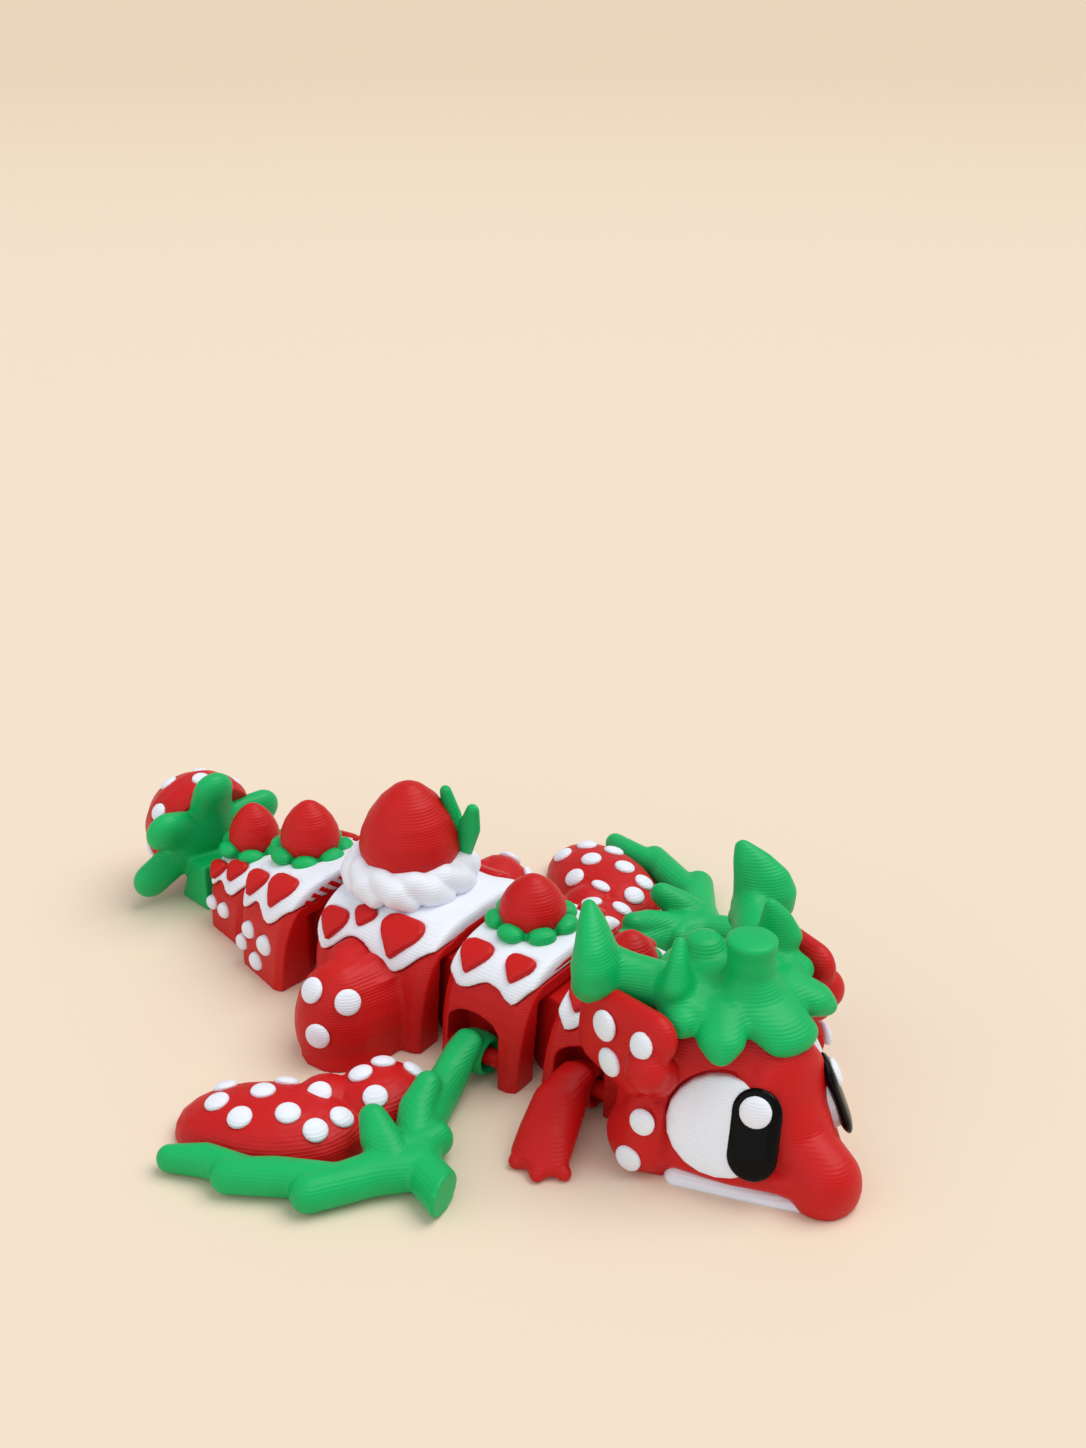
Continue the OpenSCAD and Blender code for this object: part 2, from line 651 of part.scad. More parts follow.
module at_eye(side) {
    translate([eye_at[0], side * eye_at[1], eye_at[2]])
        rotate([0, 0, side * eye_yaw])
            rotate([0, 90 - eye_tilt, 0])
                rotate([0, 0, 90])
                    children();
}

function ellipse_points(a, b, n = 40) = [for (i = [0:n - 1]) [a * cos(360 * i / n), b * sin(360 * i / n)]];
function stadium_points(r, half, n = 12) = concat(
    [for (i = [0:n]) [r * cos(180 * i / n), half - r + r * sin(180 * i / n)]],
    [for (i = [0:n]) [-r * cos(180 * i / n), -half + r - r * sin(180 * i / n)]]
);
pupil_r = 1.95;
pupil_half = eye_high - 0.05;
pupil_shift = 1.9;
light_r = 1.25;
eye_deep = 1.1;

module plug(points, from, to, bevel = 0.25) {
    translate([0, 0, from]) linear_extrude(height = to - bevel - from) polygon(points);
    translate([0, 0, to - bevel]) linear_extrude(height = bevel, scale = 0.9) polygon(points);
}

// The space that an eye takes up in the head
module eye_space(side) {
    at_eye(side) {
        plug(ellipse_points(eye_len + seat_gap, eye_high + seat_gap), -eye_deep - seat_gap, 8, 0.01);
        translate([-side * pupil_shift, 0, 0])
            plug(stadium_points(pupil_r + seat_gap, pupil_half + seat_gap), -0.5 - seat_gap, 8, 0.01);
    }
}

module fins() {
    for (side = [0, 1]) mirror([0, side, 0]) {
        translate([0, head_w + 0.5, 0]) rotate([90, 0, 0]) linear_extrude(height = 1.1) polygon(fin_outline);
        // boss over the cheek and the two bulbs of the cheek
        translate([7.3, head_w - 1.2, 8]) sphere(r = 1.5, $fn = 24);
        translate([5.8, head_w - 0.8, 2.5]) sphere(r = 2.4, $fn = 32);
        translate([6.6, head_w - 1.3, 4.7]) sphere(r = 1.8, $fn = 32);
    }
}

neck_clear_r = 6.5;

module head_solid() {
    difference() {
        union() {
            head_form();
            fins();
        }
        // room for the neck slice
        translate([0, 0, -1]) cylinder(r = neck_clear_r, h = neck_h + 1.9);
        translate([-6, -20, -5]) cube([20, 40, 5]);
    }
}

chin_keys = [[8, 0.5], [8.8, 1.2], [10.2, 0.9], [11.6, 0.8], [12.8, 1.2], [14.2, 0.9], [15.6, 0.3]];

module chin_curtain(lift = 0) {
    rotate([90, 0, 0]) linear_extrude(height = 30, center = true)
        polygon(concat([[15.6, -2], [8, -2]], [for (p = wave(chin_keys, 4)) [p[0], p[1] + lift]]));
}

head_dots_at = [[3.8, 10.5, 1.1], [6.9, 10.6, 0.95], [4.5, 8.1, 1.05]];
cheek_dots_at = [[6.9, 4.6, 0.95, 0.45], [6.3, 2.1, 1.05, 1.5]];

module head_shell() {
    color(red) in_head() {
        difference() {
            head_solid();
            chin_curtain();
            for (side = [-1, 1]) {
                eye_space(side);
                for (d = head_dots_at) dot_pocket([d[0], side * (head_w + 0.45), d[1]], [0, side, 0], d[2]);
                for (d = cheek_dots_at)
                    dot_pocket([d[0], side * (head_w + d[3]), d[1]], [0, side, 0], d[2]);
            }
        }
        heel(head_heel, 2.6);
    }
}

module chin_band() {
    color(white) in_head() difference() {
        intersection() {
            head_form(0.2);
            chin_curtain(-seat_gap);
        }
        translate([0, 0, -1]) cylinder(r = 9.2, h = 6);
        for (side = [-1, 1]) eye_space(side);
    }
}

module eye_whites() {
    color(white) in_head() for (side = [-1, 1]) at_eye(side) difference() {
        plug(ellipse_points(eye_len, eye_high), -eye_deep, 0.3);
        translate([-side * pupil_shift, 0, 0])
            plug(stadium_points(pupil_r + seat_gap, pupil_half + seat_gap), -0.5 - seat_gap, 4, 0.01);
    }
}

module eye_pupils() {
    color(black) in_head() for (side = [-1, 1]) at_eye(side) difference() {
        translate([-side * pupil_shift, 0, 0]) plug(stadium_points(pupil_r, pupil_half), -0.5, 0.7);
        translate([-side * (pupil_shift + 0.3), 1.8, 0.2]) cylinder(r = light_r + seat_gap, h = 3);
    }
}

module eye_highlights() {
    color(white) in_head() for (side = [-1, 1]) at_eye(side)
        translate([-side * (pupil_shift + 0.3), 1.8, 0.2 + seat_gap]) rotate_extrude()
            polygon([[0, 0], [light_r, 0], [light_r, 0.5], [light_r * 0.8, 0.75], [0, 0.85]]);
}

module head_dots() {
    color(white) in_head() for (side = [-1, 1]) {
        for (d = head_dots_at) dot([d[0], side * (head_w + 0.45), d[1]], [0, side, 0], d[2], 0.35);
        for (d = cheek_dots_at)
            dot([d[0], side * (head_w + d[3]), d[1]], [0, side, 0], d[2], 0.5);
    }
}

// The crown of leaves drapes over the head and carries the ears; half of its outline seen from above
crown_half = [[13.9, 0], [13.8, 1], [13.2, 1.9], [12.3, 2.5], [11.3, 2.9], [11.2, 3.8], [11.1, 4.6],
    [10.6, 5.2], [9.8, 5.4], [9.2, 5.1], [8.9, 5.6], [8.6, 6.4], [7.9, 6.8], [7, 6.7], [6.2, 6.4],
    [4.8, 6.2], [3.4, 5.4], [2, 3.6], [1.2, 1.8], [1.1, 0]];
crown_mirrored = [for (i = [len(crown_half) - 2:-1:1]) [crown_half[i][0], -crown_half[i][1]]];
crown_thick = 0.95;
crown_low = 9.55;
// An ear as height, middle forward and out, half width and half thickness
ear_rows = [
    [10, -0.8, ear_out - 0.9, 0.9, 0.7],
    [10.6, -0.8, ear_out - 0.7, 1.3, 1.1],
    [11.6, -0.7, ear_out - 0.5, 1.5, 1.4],
    [12.7, 0.5, ear_out - 0.2, 2, 1.6],
    [13.4, 1.2, ear_out - 0.1, 2.2, 1.5],
    [14.4, 1.2, ear_out, 2.05, 1.3],
    [ear_top - 1.8, 0.7, ear_out - 0.1, 1.6, 1],
    [ear_top - 0.8, 0.1, ear_out - 0.4, 1, 0.7],
    [ear_top, -0.35, ear_out - 0.6, 0.4, 0.3]
];
ear_yaw = 53;

module ear() {
    skin([for (r = ear_rows) [for (i = [0:15])
        let (a = -22.5 * i, p = turned([r[3] * cos(a), r[4] * sin(a)], ear_yaw))
            [r[1] + p[0], r[2] + p[1], r[0]]]]);
}

module leaf_crown() {
    color(green) in_head() difference() {
        union() {
            intersection() {
                head_form(crown_thick);
                translate([0, 0, crown_low])
                    linear_extrude(height = 10)
                        polygon(concat(crown_half, crown_mirrored));
            }
            for (side = [-1, 1]) scale([1, side, 1]) {
                ear();
                // stalk of the ear
                tube([
                    [-0.4, ear_out - 1.1, 11.9, 1.2, 1.4],
                    [1.6, ear_out - 1.7, 12.1, 1.2, 1.5],
                    [4, 5, 12.2, 1.4, 1.4],
                    [6, 3.8, 12.3, 1.6, 1.1],
                    [7.6, 2.6, 12.4, 1.8, 0.9]
                ]);
                // upright leaf
                tube([[5.2, 3.9, 12.2, 2, 1.1], [5.7, 4.1, 14, 1.6, 0.8], [6.1, 4.25, 15.6, 0.6, 0.5]]);
                // leaves over the eye and over the cheek
                tube([[8.6, 3, 11.5, 1.7, 1], [10.2, 4.3, 10.7, 1.5, 1], [11, 5, 10.3, 1, 0.75]]);
                tube([[5.8, 4.6, 12.2, 1.6, 1], [7.2, 5.9, 12.3, 1.4, 1], [7.9, 6.5, 12.3, 0.9, 0.8]]);
            }
            // stems
            translate([8.4, 0, head_h - 0.8]) rotate([0, -3, 0])
                cylinder(r1 = 2.3, r2 = 2, h = 4.8, $fn = 24);
            translate([3.6, 0, head_h - 0.6]) cylinder(r1 = 1.9, r2 = 1.3, h = 2.4, $fn = 24);
        }
        head_form(seat_gap);
    }
}

// Wings: leafy stems with two flat berries, lying on the ground
berry_rows = [[0, 0.92], [0.25, 0.99], [0.55, 0.97], [0.78, 0.82], [0.92, 0.58], [1, 0.24]];

module flat_berry(c, rx, ry, h, grow = 0) {
    skin([for (r = berry_rows)
        egg_ring(r[0] * h + (r[0] > 0.9 ? grow : 0), c, rx * r[1] + grow, rx * r[1] + grow, ry * r[1] + grow,
            2, 32)]);
}

wing_big = [-6.6, 21];
wing_big_rx = 6.2;
wing_big_ry = 4.4;
wing_small = [-3, 13.3];
wing_small_rx = 3.1;
wing_small_ry = 3.6;
wing_x = (wing_arch[0] + wing_arch[1]) / 2;

module wing_stem() {
    side_eye(wing_x - 1.3, wing_x + 1.3, wing_pin_y, side_pin_z);
    difference() {
        union() {
            // root
            tube([
                [wing_x, wing_pin_y + 0.5, 3.1, 1.1, 0.9],
                [wing_x, wing_pin_y + 2.1, 2.6, 1.15, 1],
                [wing_x + 0.2, wing_pin_y + 3.8, 1.6, 1.2, 1.1],
                [wing_x + 1, wing_pin_y + 6.5, 1.3, 1.3, 1.2],
                [wing_x + 2.4, wing_pin_y + 9.5, 1.3, 1.4, 1.2],
                [wing_x + 5, wing_pin_y + 11.9, 1.2, 1.35, 1.2],
                [wing_x + 8, wing_pin_y + 13.3, 1.2, 1.3, 1.2]
            ]);
            // outer leaves
            tube([
                [4.2, 17.8, 1.2, 1.3, 1.2],
                [1.6, 20.8, 1.2, 1.5, 1.2],
                [-0.2, 23.4, 1.2, 1.4, 1.2],
                [-1.4, 25, 1, 0.9, 1]
            ]);
            tube([
                [0.8, 22.2, 1.2, 1.2, 1.2],
                [-2.8, 24.8, 1.2, 1.3, 1.2],
                [-5.4, 26, 1.2, 1.3, 1.2],
                [-7.4, 26.7, 1, 0.8, 1]
            ]);
            tube([
                [-4.8, 25.6, 1.1, 1, 1.1],
                [-8, 26, 1.1, 1.1, 1.1],
                [-10.4, 26.4, 1, 1, 1],
                [-11.6, 27, 0.8, 0.7, 0.8]
            ]);
            // upright leaves
            tube([
                [3.4, 17.8, 1.6, 1.3, 1.1],
                [1.6, 18.4, 3, 1.5, 0.9],
                [0.4, 18.8, 4.3, 1.1, 0.6]
            ]);
            tube([
                [2.6, 15.8, 1.6, 1.2, 1.1],
                [1, 14, 2.8, 1.3, 0.8],
                [0, 12.8, 3.5, 0.9, 0.5]
            ]);
            tube([
                [3, 16.6, 1.4, 1.2, 1.1],
                [3.1, 15.4, 1.5, 1.2, 0.9],
                [3.2, 14.6, 1.6, 0.9, 0.6]
            ]);
        }
        side_bore(wing_x - 4, wing_x + 4, wing_pin_y, side_pin_z);
        flat_berry(wing_big, wing_big_rx, wing_big_ry, wing_h, seat_gap);
        flat_berry(wing_small, wing_small_rx, wing_small_ry, wing_h - 0.1, seat_gap);
    }
}

wing_dots_at = [[-7.2, 24, 0.75], [-9.8, 23, 0.8], [-10.9, 20.7, 0.8], [-8.3, 20.5, 0.8], [-5.4, 21.3, 0.85],
    [-2.8, 21.7, 0.8], [-8.4, 18.2, 0.7], [-5.6, 18.1, 0.8], [-2.4, 19, 0.7]];
wing_small_dots_at = [[-4.4, 14.4, 0.75], [-2.4, 15, 0.8], [-2.4, 12.2, 0.8]];

// Height of a flat berry of middle c, reaches rx and ry and height h over a place
function berry_top(p, c, rx, ry, h) =
    h * sqrt(max(0.1, 1 - pow(norm([(p[0] - c[0]) / rx, (p[1] - c[1]) / ry]), 3)));
function big_top(p) = berry_top(p, wing_big, wing_big_rx, wing_big_ry, wing_h);
function small_top(p) = berry_top(p, wing_small, wing_small_rx, wing_small_ry, wing_h - 0.1);

module wing_berries() {
    difference() {
        union() {
            flat_berry(wing_big, wing_big_rx, wing_big_ry, wing_h);
            flat_berry(wing_small, wing_small_rx, wing_small_ry, wing_h - 0.1);
        }
        for (d = wing_dots_at) dot_pocket([d[0], d[1], big_top(d) - 0.15], [0, 0, 1], d[2]);
        for (d = wing_small_dots_at) dot_pocket([d[0], d[1], small_top(d) - 0.15], [0, 0, 1], d[2]);
    }
}

module wing_dots() {
    for (d = wing_dots_at) dot([d[0], d[1], big_top(d) - 0.15], [0, 0, 1], d[2]);
    for (d = wing_small_dots_at) dot([d[0], d[1], small_top(d) - 0.15], [0, 0, 1], d[2]);
}

module wing_right_stem() { color(green) mirror([0, 1, 0]) wing_stem(); }
module wing_right_berries() { color(red) mirror([0, 1, 0]) wing_berries(); }
module wing_right_dots() { color(white) mirror([0, 1, 0]) wing_dots(); }
module wing_left_stem() { color(green) wing_stem(); }
module wing_left_berries() { color(red) wing_berries(); }
module wing_left_dots() { color(white) wing_dots(); }

// The hip slice with its haunches, whipped ring and large berry
haunch_rows = [[0, 4, 3.7, 6.9], [0.9, 4, 3.7, 6.6], [1.9, 3.9, 3.6, 5.4], [3.3, 3.8, 3.5, 4.8],
    [4.8, 3.7, 3.4, 4.6], [6.2, 3.3, 3, 4], [7.2, 2.6, 2.4, 3.1], [7.8, 1.6, 1.5, 2]];
haunch_at = [0, 6.2];
hip_dots_at = [[-2.2, 5, 0.9], [1.3, 5, 0.95], [-1.8, 1.7, 0.9]];
ring_x = -1.3;
ring_z = hip_h - 0.2;
hip_turn = 6;

module haunches() {
    for (side = [-1, 1]) scale([1, side, 1])
        skin([for (r = haunch_rows) egg_ring(r[0], haunch_at, r[1], r[2], r[3], 2.3, 28)]);
}

function haunch_y(x, z) = let (
    w = lookup(z, [for (r = haunch_rows) [r[0], r[3]]]),
    reach = lookup(z, [for (r = haunch_rows) [r[0], x < haunch_at[0] ? r[1] : r[2]]]))
    haunch_at[1] + w * pow(max(0.05, 1 - pow(abs(x - haunch_at[0]) / reach, 2.3)), 1 / 2.3);

module hip_block() {
    color(red) in_hip() difference() {
        union() {
            difference() {
                union() {
                    slice(hip);
                    haunches();
                }
                trim_bed(hip, hip_wave, hip_hearts_at);
            }
            translate([tail_front_pin[0] - hip_centre_x, 0, 0]) heel(hip_heel, 2);
        }
        translate([hip_pin_x - hip_centre_x, 0, 0]) heel_cavity(shoulder_heel, hip_turn + 1);
        for (d = hip_dots_at, side = [-1, 1])
            dot_pocket([d[0], side * haunch_y(d[0], d[1]), d[1]], [0, side, 0], d[2]);
        translate([ring_x, 0, 0]) berry_bed(2.2, ring_z - 0.2);
    }
}

module hip_icing() {
    color(white) in_hip() difference() {
        icing_on(hip, hip_wave, hip_hearts_at);
        translate([ring_x, 0, 0]) berry_bed(2.2, ring_z - 0.2);
    }
}

module hip_hearts() { color(red) in_hip() hearts_on(hip, hip_hearts_at); }

module hip_dots() {
    color(white) in_hip() for (d = hip_dots_at, side = [-1, 1])
        dot([d[0], side * haunch_y(d[0], d[1]), d[1]], [0, side, 0], d[2], 0.4);
}

// Swirls are short leaning beads laid around the ring
module cream_ring() {
    color(white) in_hip() translate([ring_x, 0, 0]) difference() {
        union() {
            translate([0, 0, ring_z + 0.9])
                rotate_extrude() translate([ring_r, 0]) circle(r = ring_thick * 0.42, $fn = 20);
            for (i = [0:ring_swirls - 1]) rotate(360 * i / ring_swirls)
                tube([
                    [ring_r + 0.75, -1.5, ring_z + 0.7, 0.5, 0.6],
                    [ring_r + 0.45, -0.5, ring_z + 1.2, 0.8, 1],
                    [ring_r - 0.1, 0.6, ring_z + 1.9, 0.8, 0.8],
                    [ring_r - 0.7, 1.4, ring_z + 2.3, 0.5, 0.4]
                ]);
        }
        translate([-ring_x, 0, 0]) {
            slice(hip, icing_proud + seat_gap);
            heart_room(hip, hip_hearts_at);
        }
        translate([0, 0, ring_z + 0.5]) hip_berry_gap();
    }
}

hip_berry_h = hip_berry_r * 1.9;

module hip_berry_gap() {
    rotate_extrude()
        polygon([for (p = berry_profile(hip_berry_r, hip_berry_h))
            [p[0] > 0.06 ? p[0] + seat_gap : 0, p[1]]]);
    translate([0, 0, -3]) cylinder(r = 2.22, h = 3.2);
}

module hip_berry() {
    color(red) in_hip() translate([ring_x, 0, ring_z + 0.5]) {
        berry(hip_berry_r, hip_berry_h);
        translate([0, 0, -0.7 + seat_gap]) cylinder(r = 2.18, h = 0.9);
    }
}

module hip_leaves() {
    color(green) in_hip() difference() {
        union() {
            tube([
                [ring_x + 2.9, 2.4, ring_z + 2.2, 0.9, 0.9],
                [ring_x + 3, 2.9, ring_z + 4, 1, 0.5],
                [ring_x + 2, 3.2, ring_z + 6.6, 0.5, 0.35]
            ]);
            tube([
                [ring_x + 3, 2.2, ring_z + 2.2, 0.9, 0.9],
                [ring_x + 3.9, 2.5, ring_z + 3.8, 0.9, 0.5],
                [ring_x + 4.4, 2.5, ring_z + 6, 0.45, 0.3]
            ]);
        }
        translate([ring_x, 0, ring_z + 0.5]) hip_berry_gap();
        translate([ring_x, 0, 0]) ring_gap();
    }
}

// Only the swirls beside the leaves
module ring_gap() {
    translate([0, 0, ring_z + 0.9])
        rotate_extrude() translate([ring_r, 0]) circle(r = ring_thick * 0.42 + seat_gap, $fn = 20);
    for (i = [0:2]) rotate(360 * i / ring_swirls)
        tube([
            [ring_r + 0.75, -1.5, ring_z + 0.7, 0.5 + seat_gap, 0.6 + seat_gap],
            [ring_r + 0.45, -0.5, ring_z + 1.2, 0.8 + seat_gap, 1 + seat_gap],
            [ring_r - 0.1, 0.6, ring_z + 1.9, 0.8 + seat_gap, 0.8 + seat_gap],
            [ring_r - 0.7, 1.4, ring_z + 2.3, 0.5 + seat_gap, 0.4 + seat_gap]
        ]);
}

// The two tail slices
module tail_block(b, keys, hearts, dots, slice_x, under, under_at, over, turn, berry_at, berry_r) {
    difference() {
        union() {
            translate([slice_x, 0, 0]) difference() {
                slice(b);
                trim_bed(b, keys, hearts);
            }
            translate([under_at, 0, 0]) heel(under, 1.4);
        }
        heel_cavity(over, turn);
        translate([slice_x, 0, 0]) flank_dot_beds(b, dots);
        translate([slice_x, 0, 0]) berry_seat(berry_at, berry_r);
    }
}

tail_turn = 14;
tip_turn = 12;

module tail_front_block() {
    color(red) in_tail_front() tail_block(tail_front, tail_front_wave, tail_front_hearts_at,
        tail_front_dots_at, tail_front_slice, tail_front_heel, -tail_front_len - rear_gap, hip_heel,
        tail_turn + 1, tail_front_berry_at, tail_front_berry_r);
}

module tail_front_icing() {
    color(white) in_tail_front() translate([tail_front_slice, 0, 0]) difference() {
        icing_on(tail_front, tail_front_wave, tail_front_hearts_at);
        berry_seat(tail_front_berry_at, tail_front_berry_r);
    }
}

module tail_front_hearts() {
    color(red) in_tail_front() translate([tail_front_slice, 0, 0])
        hearts_on(tail_front, tail_front_hearts_at);
}

module tail_front_dots() {
    color(white) in_tail_front() translate([tail_front_slice, 0, 0])
        flank_dots(tail_front, tail_front_dots_at);
}

module tail_front_calyx() {
    color(green) in_tail_front() translate([tail_front_slice, 0, 0])
        seated_calyx(tail_front_berry_at, tail_front_berry_r, 7, 0, 0.75, tail_front,
            tail_front_hearts_at);
}

module tail_front_berry() {
    color(red) in_tail_front() translate([tail_front_slice, 0, 0])
        seated_berry(tail_front_berry_at, tail_front_berry_r, tail_front_berry_r * 1.9);
}

module tail_rear_block() {
    color(red) in_tail_rear() tail_block(tail_rear, tail_rear_wave, tail_rear_hearts_at, tail_rear_dots_at,
        tail_rear_slice, tail_rear_heel, small_pin_in - tail_rear_len - tip_gap - tip_pin_in, tail_front_heel,
        tail_turn + 1, tail_rear_berry_at, tail_rear_berry_r);
}

module tail_rear_icing() {
    color(white) in_tail_rear() translate([tail_rear_slice, 0, 0]) difference() {
        icing_on(tail_rear, tail_rear_wave, tail_rear_hearts_at);
        berry_seat(tail_rear_berry_at, tail_rear_berry_r);
    }
}

module tail_rear_hearts() {
    color(red) in_tail_rear() translate([tail_rear_slice, 0, 0]) hearts_on(tail_rear, tail_rear_hearts_at);
}

module tail_rear_dots() {
    color(white) in_tail_rear() translate([tail_rear_slice, 0, 0]) flank_dots(tail_rear, tail_rear_dots_at);
}

module tail_rear_calyx() {
    color(green) in_tail_rear() translate([tail_rear_slice, 0, 0])
        seated_calyx(tail_rear_berry_at, tail_rear_berry_r, 6, 10, 0.65, tail_rear,
            tail_rear_hearts_at);
}

module tail_rear_berry() {
    color(red) in_tail_rear() translate([tail_rear_slice, 0, 0])
        seated_berry(tail_rear_berry_at, tail_rear_berry_r, tail_rear_berry_r * 1.85);
}

// The tail tip: a sleeve with its pin, a star of leaves and a dotted berry behind it
tip_star_x = -1.8;
tip_star_z = 5.4;
tip_star_r = 6.8;
tip_tilt = 22;
tip_berry_r = 4.8;
sleeve_w = 2.7;
sleeve_h = 4.2;

module at_star() { translate([tip_star_x, 0, tip_star_z]) rotate([0, tip_tilt - 90, 0]) children(); }

module tip_berry_form(grow = 0) {
    at_star() translate([0, 0, 0.4]) rotate_extrude()
        polygon([for (p = [[0, 0], [tip_berry_r * 0.95, 0], [tip_berry_r, 0.9], [tip_berry_r * 0.97, 2],
            [tip_berry_r * 0.84, 3.3], [tip_berry_r * 0.6, 4.5], [tip_berry_r * 0.3, 5.3], [0, 5.6]])
            [p[0] > 0 ? p[0] + grow : 0, p[1] > 0 ? p[1] + grow : -grow]]);
}

module below_ground() { translate([-25, -25, -10]) cube([50, 50, 10]); }

module tip_calyx() {
    color(green) in_tip() {
        difference() {
            union() {
                difference() {
                    at_star() {
                        translate([0, 0, -0.8]) cylinder(r = 4.3, h = 1.7);
                        for (i = [0:4]) rotate(36 + 72 * i)
                            tube_free([[2.2, 0, 0, 2, 0.95], [4.1, 0, -0.1, 1.75, 0.95],
                                [tip_star_r - 1.4, 0, -0.3, 1.4, 0.85]]);
                    }
                    below_ground();
                }
                translate([tip_star_x - 1.4, -sleeve_w, 0])
                    cube([tip_pin_in - tip_star_x + 1.4, sleeve_w * 2, sleeve_h]);
            }
            heel_cavity(tail_rear_heel, tip_turn + 1);
            tip_berry_form(seat_gap);
        }
    }
}

// A tube that may reach below its own level
module tube_free(path) {
    translate([0, 0, -20]) tube([for (p = path) [p[0], p[1], p[2] + 20, p[3], p[4]]]);
}

module tip_berry() {
    color(red) in_tip() difference() {
        tip_berry_form();
        below_ground();
        for (d = tip_dots_at) tip_dot_at(d) dot_pocket([0, 0, 0], [0, 0, 1], 0.8);
    }
}

// Dots on the berry as turn around it and distance behind the star
tip_dots_at = [[0, 1.9], [60, 1.9], [120, 1.9], [180, 2.2], [240, 1.9], [300, 1.9], [30, 4], [150, 4],
    [210, 4.3], [330, 4.2]];

module tip_dot_at(d) {
    out = lookup(d[1], [[0.9, 1], [2, 0.97], [3.3, 0.84], [4.5, 0.6], [5.3, 0.3]]) * tip_berry_r;
    lean = lookup(d[1], [[1, 88], [2, 78], [3.3, 58], [4.5, 40]]);
    at_star() rotate(d[0]) translate([out - 0.12, 0, d[1] + 0.4]) rotate([0, lean, 0]) children();
}

module tip_dots() {
    color(white) in_tip() difference() {
        for (d = tip_dots_at) tip_dot_at(d) dot([0, 0, 0], [0, 0, 1], 0.8, 0.35);
        below_ground();
    }
}

shoulder_block();
shoulder_icing();
shoulder_hearts();
shoulder_calyx();
shoulder_berry();
neck_block();
neck_icing();
neck_hearts();
neck_calyx();
neck_berry();
front_leg_right();
front_leg_left();
head_shell();
leaf_crown();
chin_band();
eye_whites();
eye_pupils();
eye_highlights();
head_dots();
wing_right_stem();
wing_right_berries();
wing_right_dots();
wing_left_stem();
wing_left_berries();
wing_left_dots();
hip_block();
hip_icing();
hip_hearts();
hip_dots();
cream_ring();
hip_berry();
hip_leaves();
tail_front_block();
tail_front_icing();
tail_front_hearts();
tail_front_dots();
tail_front_calyx();
tail_front_berry();
tail_rear_block();
tail_rear_icing();
tail_rear_hearts();
tail_rear_dots();
tail_rear_calyx();
tail_rear_berry();
tip_calyx();
tip_berry();
tip_dots();
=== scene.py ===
"""Strawberry cake dragon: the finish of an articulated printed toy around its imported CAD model."""

import json
import math

import bmesh
import bpy
from mathutils import Matrix, Vector


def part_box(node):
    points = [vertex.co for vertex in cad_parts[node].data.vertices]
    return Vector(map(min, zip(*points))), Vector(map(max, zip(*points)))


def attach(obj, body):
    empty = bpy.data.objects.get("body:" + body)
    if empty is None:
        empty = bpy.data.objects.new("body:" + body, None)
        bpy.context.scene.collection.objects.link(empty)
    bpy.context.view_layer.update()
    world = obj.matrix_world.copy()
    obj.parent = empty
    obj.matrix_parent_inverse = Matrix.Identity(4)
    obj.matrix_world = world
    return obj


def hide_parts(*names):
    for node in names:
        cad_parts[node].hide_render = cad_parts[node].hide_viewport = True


bl_info = {
    "name": "Strawberry Cake Dragon",
    "version": (1, 0, 0),
    "blender": (4, 5, 0),
    "location": "View3D > Sidebar > Cake Dragon",
    "description": "Finishes the printed pieces of an articulated cake dragon",
    "category": "Object",
}

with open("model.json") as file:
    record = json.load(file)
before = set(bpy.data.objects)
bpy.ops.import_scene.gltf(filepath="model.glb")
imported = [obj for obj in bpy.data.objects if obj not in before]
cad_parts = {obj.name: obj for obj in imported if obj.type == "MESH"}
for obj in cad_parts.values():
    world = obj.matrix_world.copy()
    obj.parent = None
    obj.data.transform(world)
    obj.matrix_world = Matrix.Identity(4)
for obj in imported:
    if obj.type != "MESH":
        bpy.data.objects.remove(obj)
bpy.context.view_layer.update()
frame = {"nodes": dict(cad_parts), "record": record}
MM = 0.001
JOINT_PLACES = {joint["name"]: joint["pos_m"] for joint in frame["record"]["behaviour"]["joints"]}
SIDES = ((-1, "right"), (1, "left"))
ORIGIN = (0.0, 0.0, 0.0)
DOWN = (0.0, 0.0, -1.0)
UP = (0.0, 0.0, 1.0)


# Colours and materials


def linear(code):
    """Turn an sRGB hex colour into linear values."""
    channels = [int(code[i : i + 2], 16) / 255 for i in (1, 3, 5)]
    return tuple(c / 12.92 if c <= 0.04045 else ((c + 0.055) / 1.055) ** 2.4 for c in channels) + (1.0,)


def add_node(tree, kind, inputs=None, **settings):
    """Add a node with its settings; an input is a value or the socket that feeds it."""
    node = tree.nodes.new(kind)
    for name, value in settings.items():
        setattr(node, name, value)
    for name, value in (inputs or {}).items():
        if isinstance(value, bpy.types.NodeSocket):
            tree.links.new(value, node.inputs[name])
        else:
            node.inputs[name].default_value = value
    return node


# In millimetres: the patches of slightly duller plastic, and the slow waves in the layers
PATCH_WIDTH = 3.85
WAVE_WIDTH = 2.38
WAVE_HEIGHT = 0.08

SLOT_MATERIALS = {
    "red_plastic": "printed PLA, strawberry red",
    "green_plastic": "printed PLA, leaf green",
    "white_plastic": "printed PLA, icing white",
    "black_plastic": "printed PLA, gloss black",
}


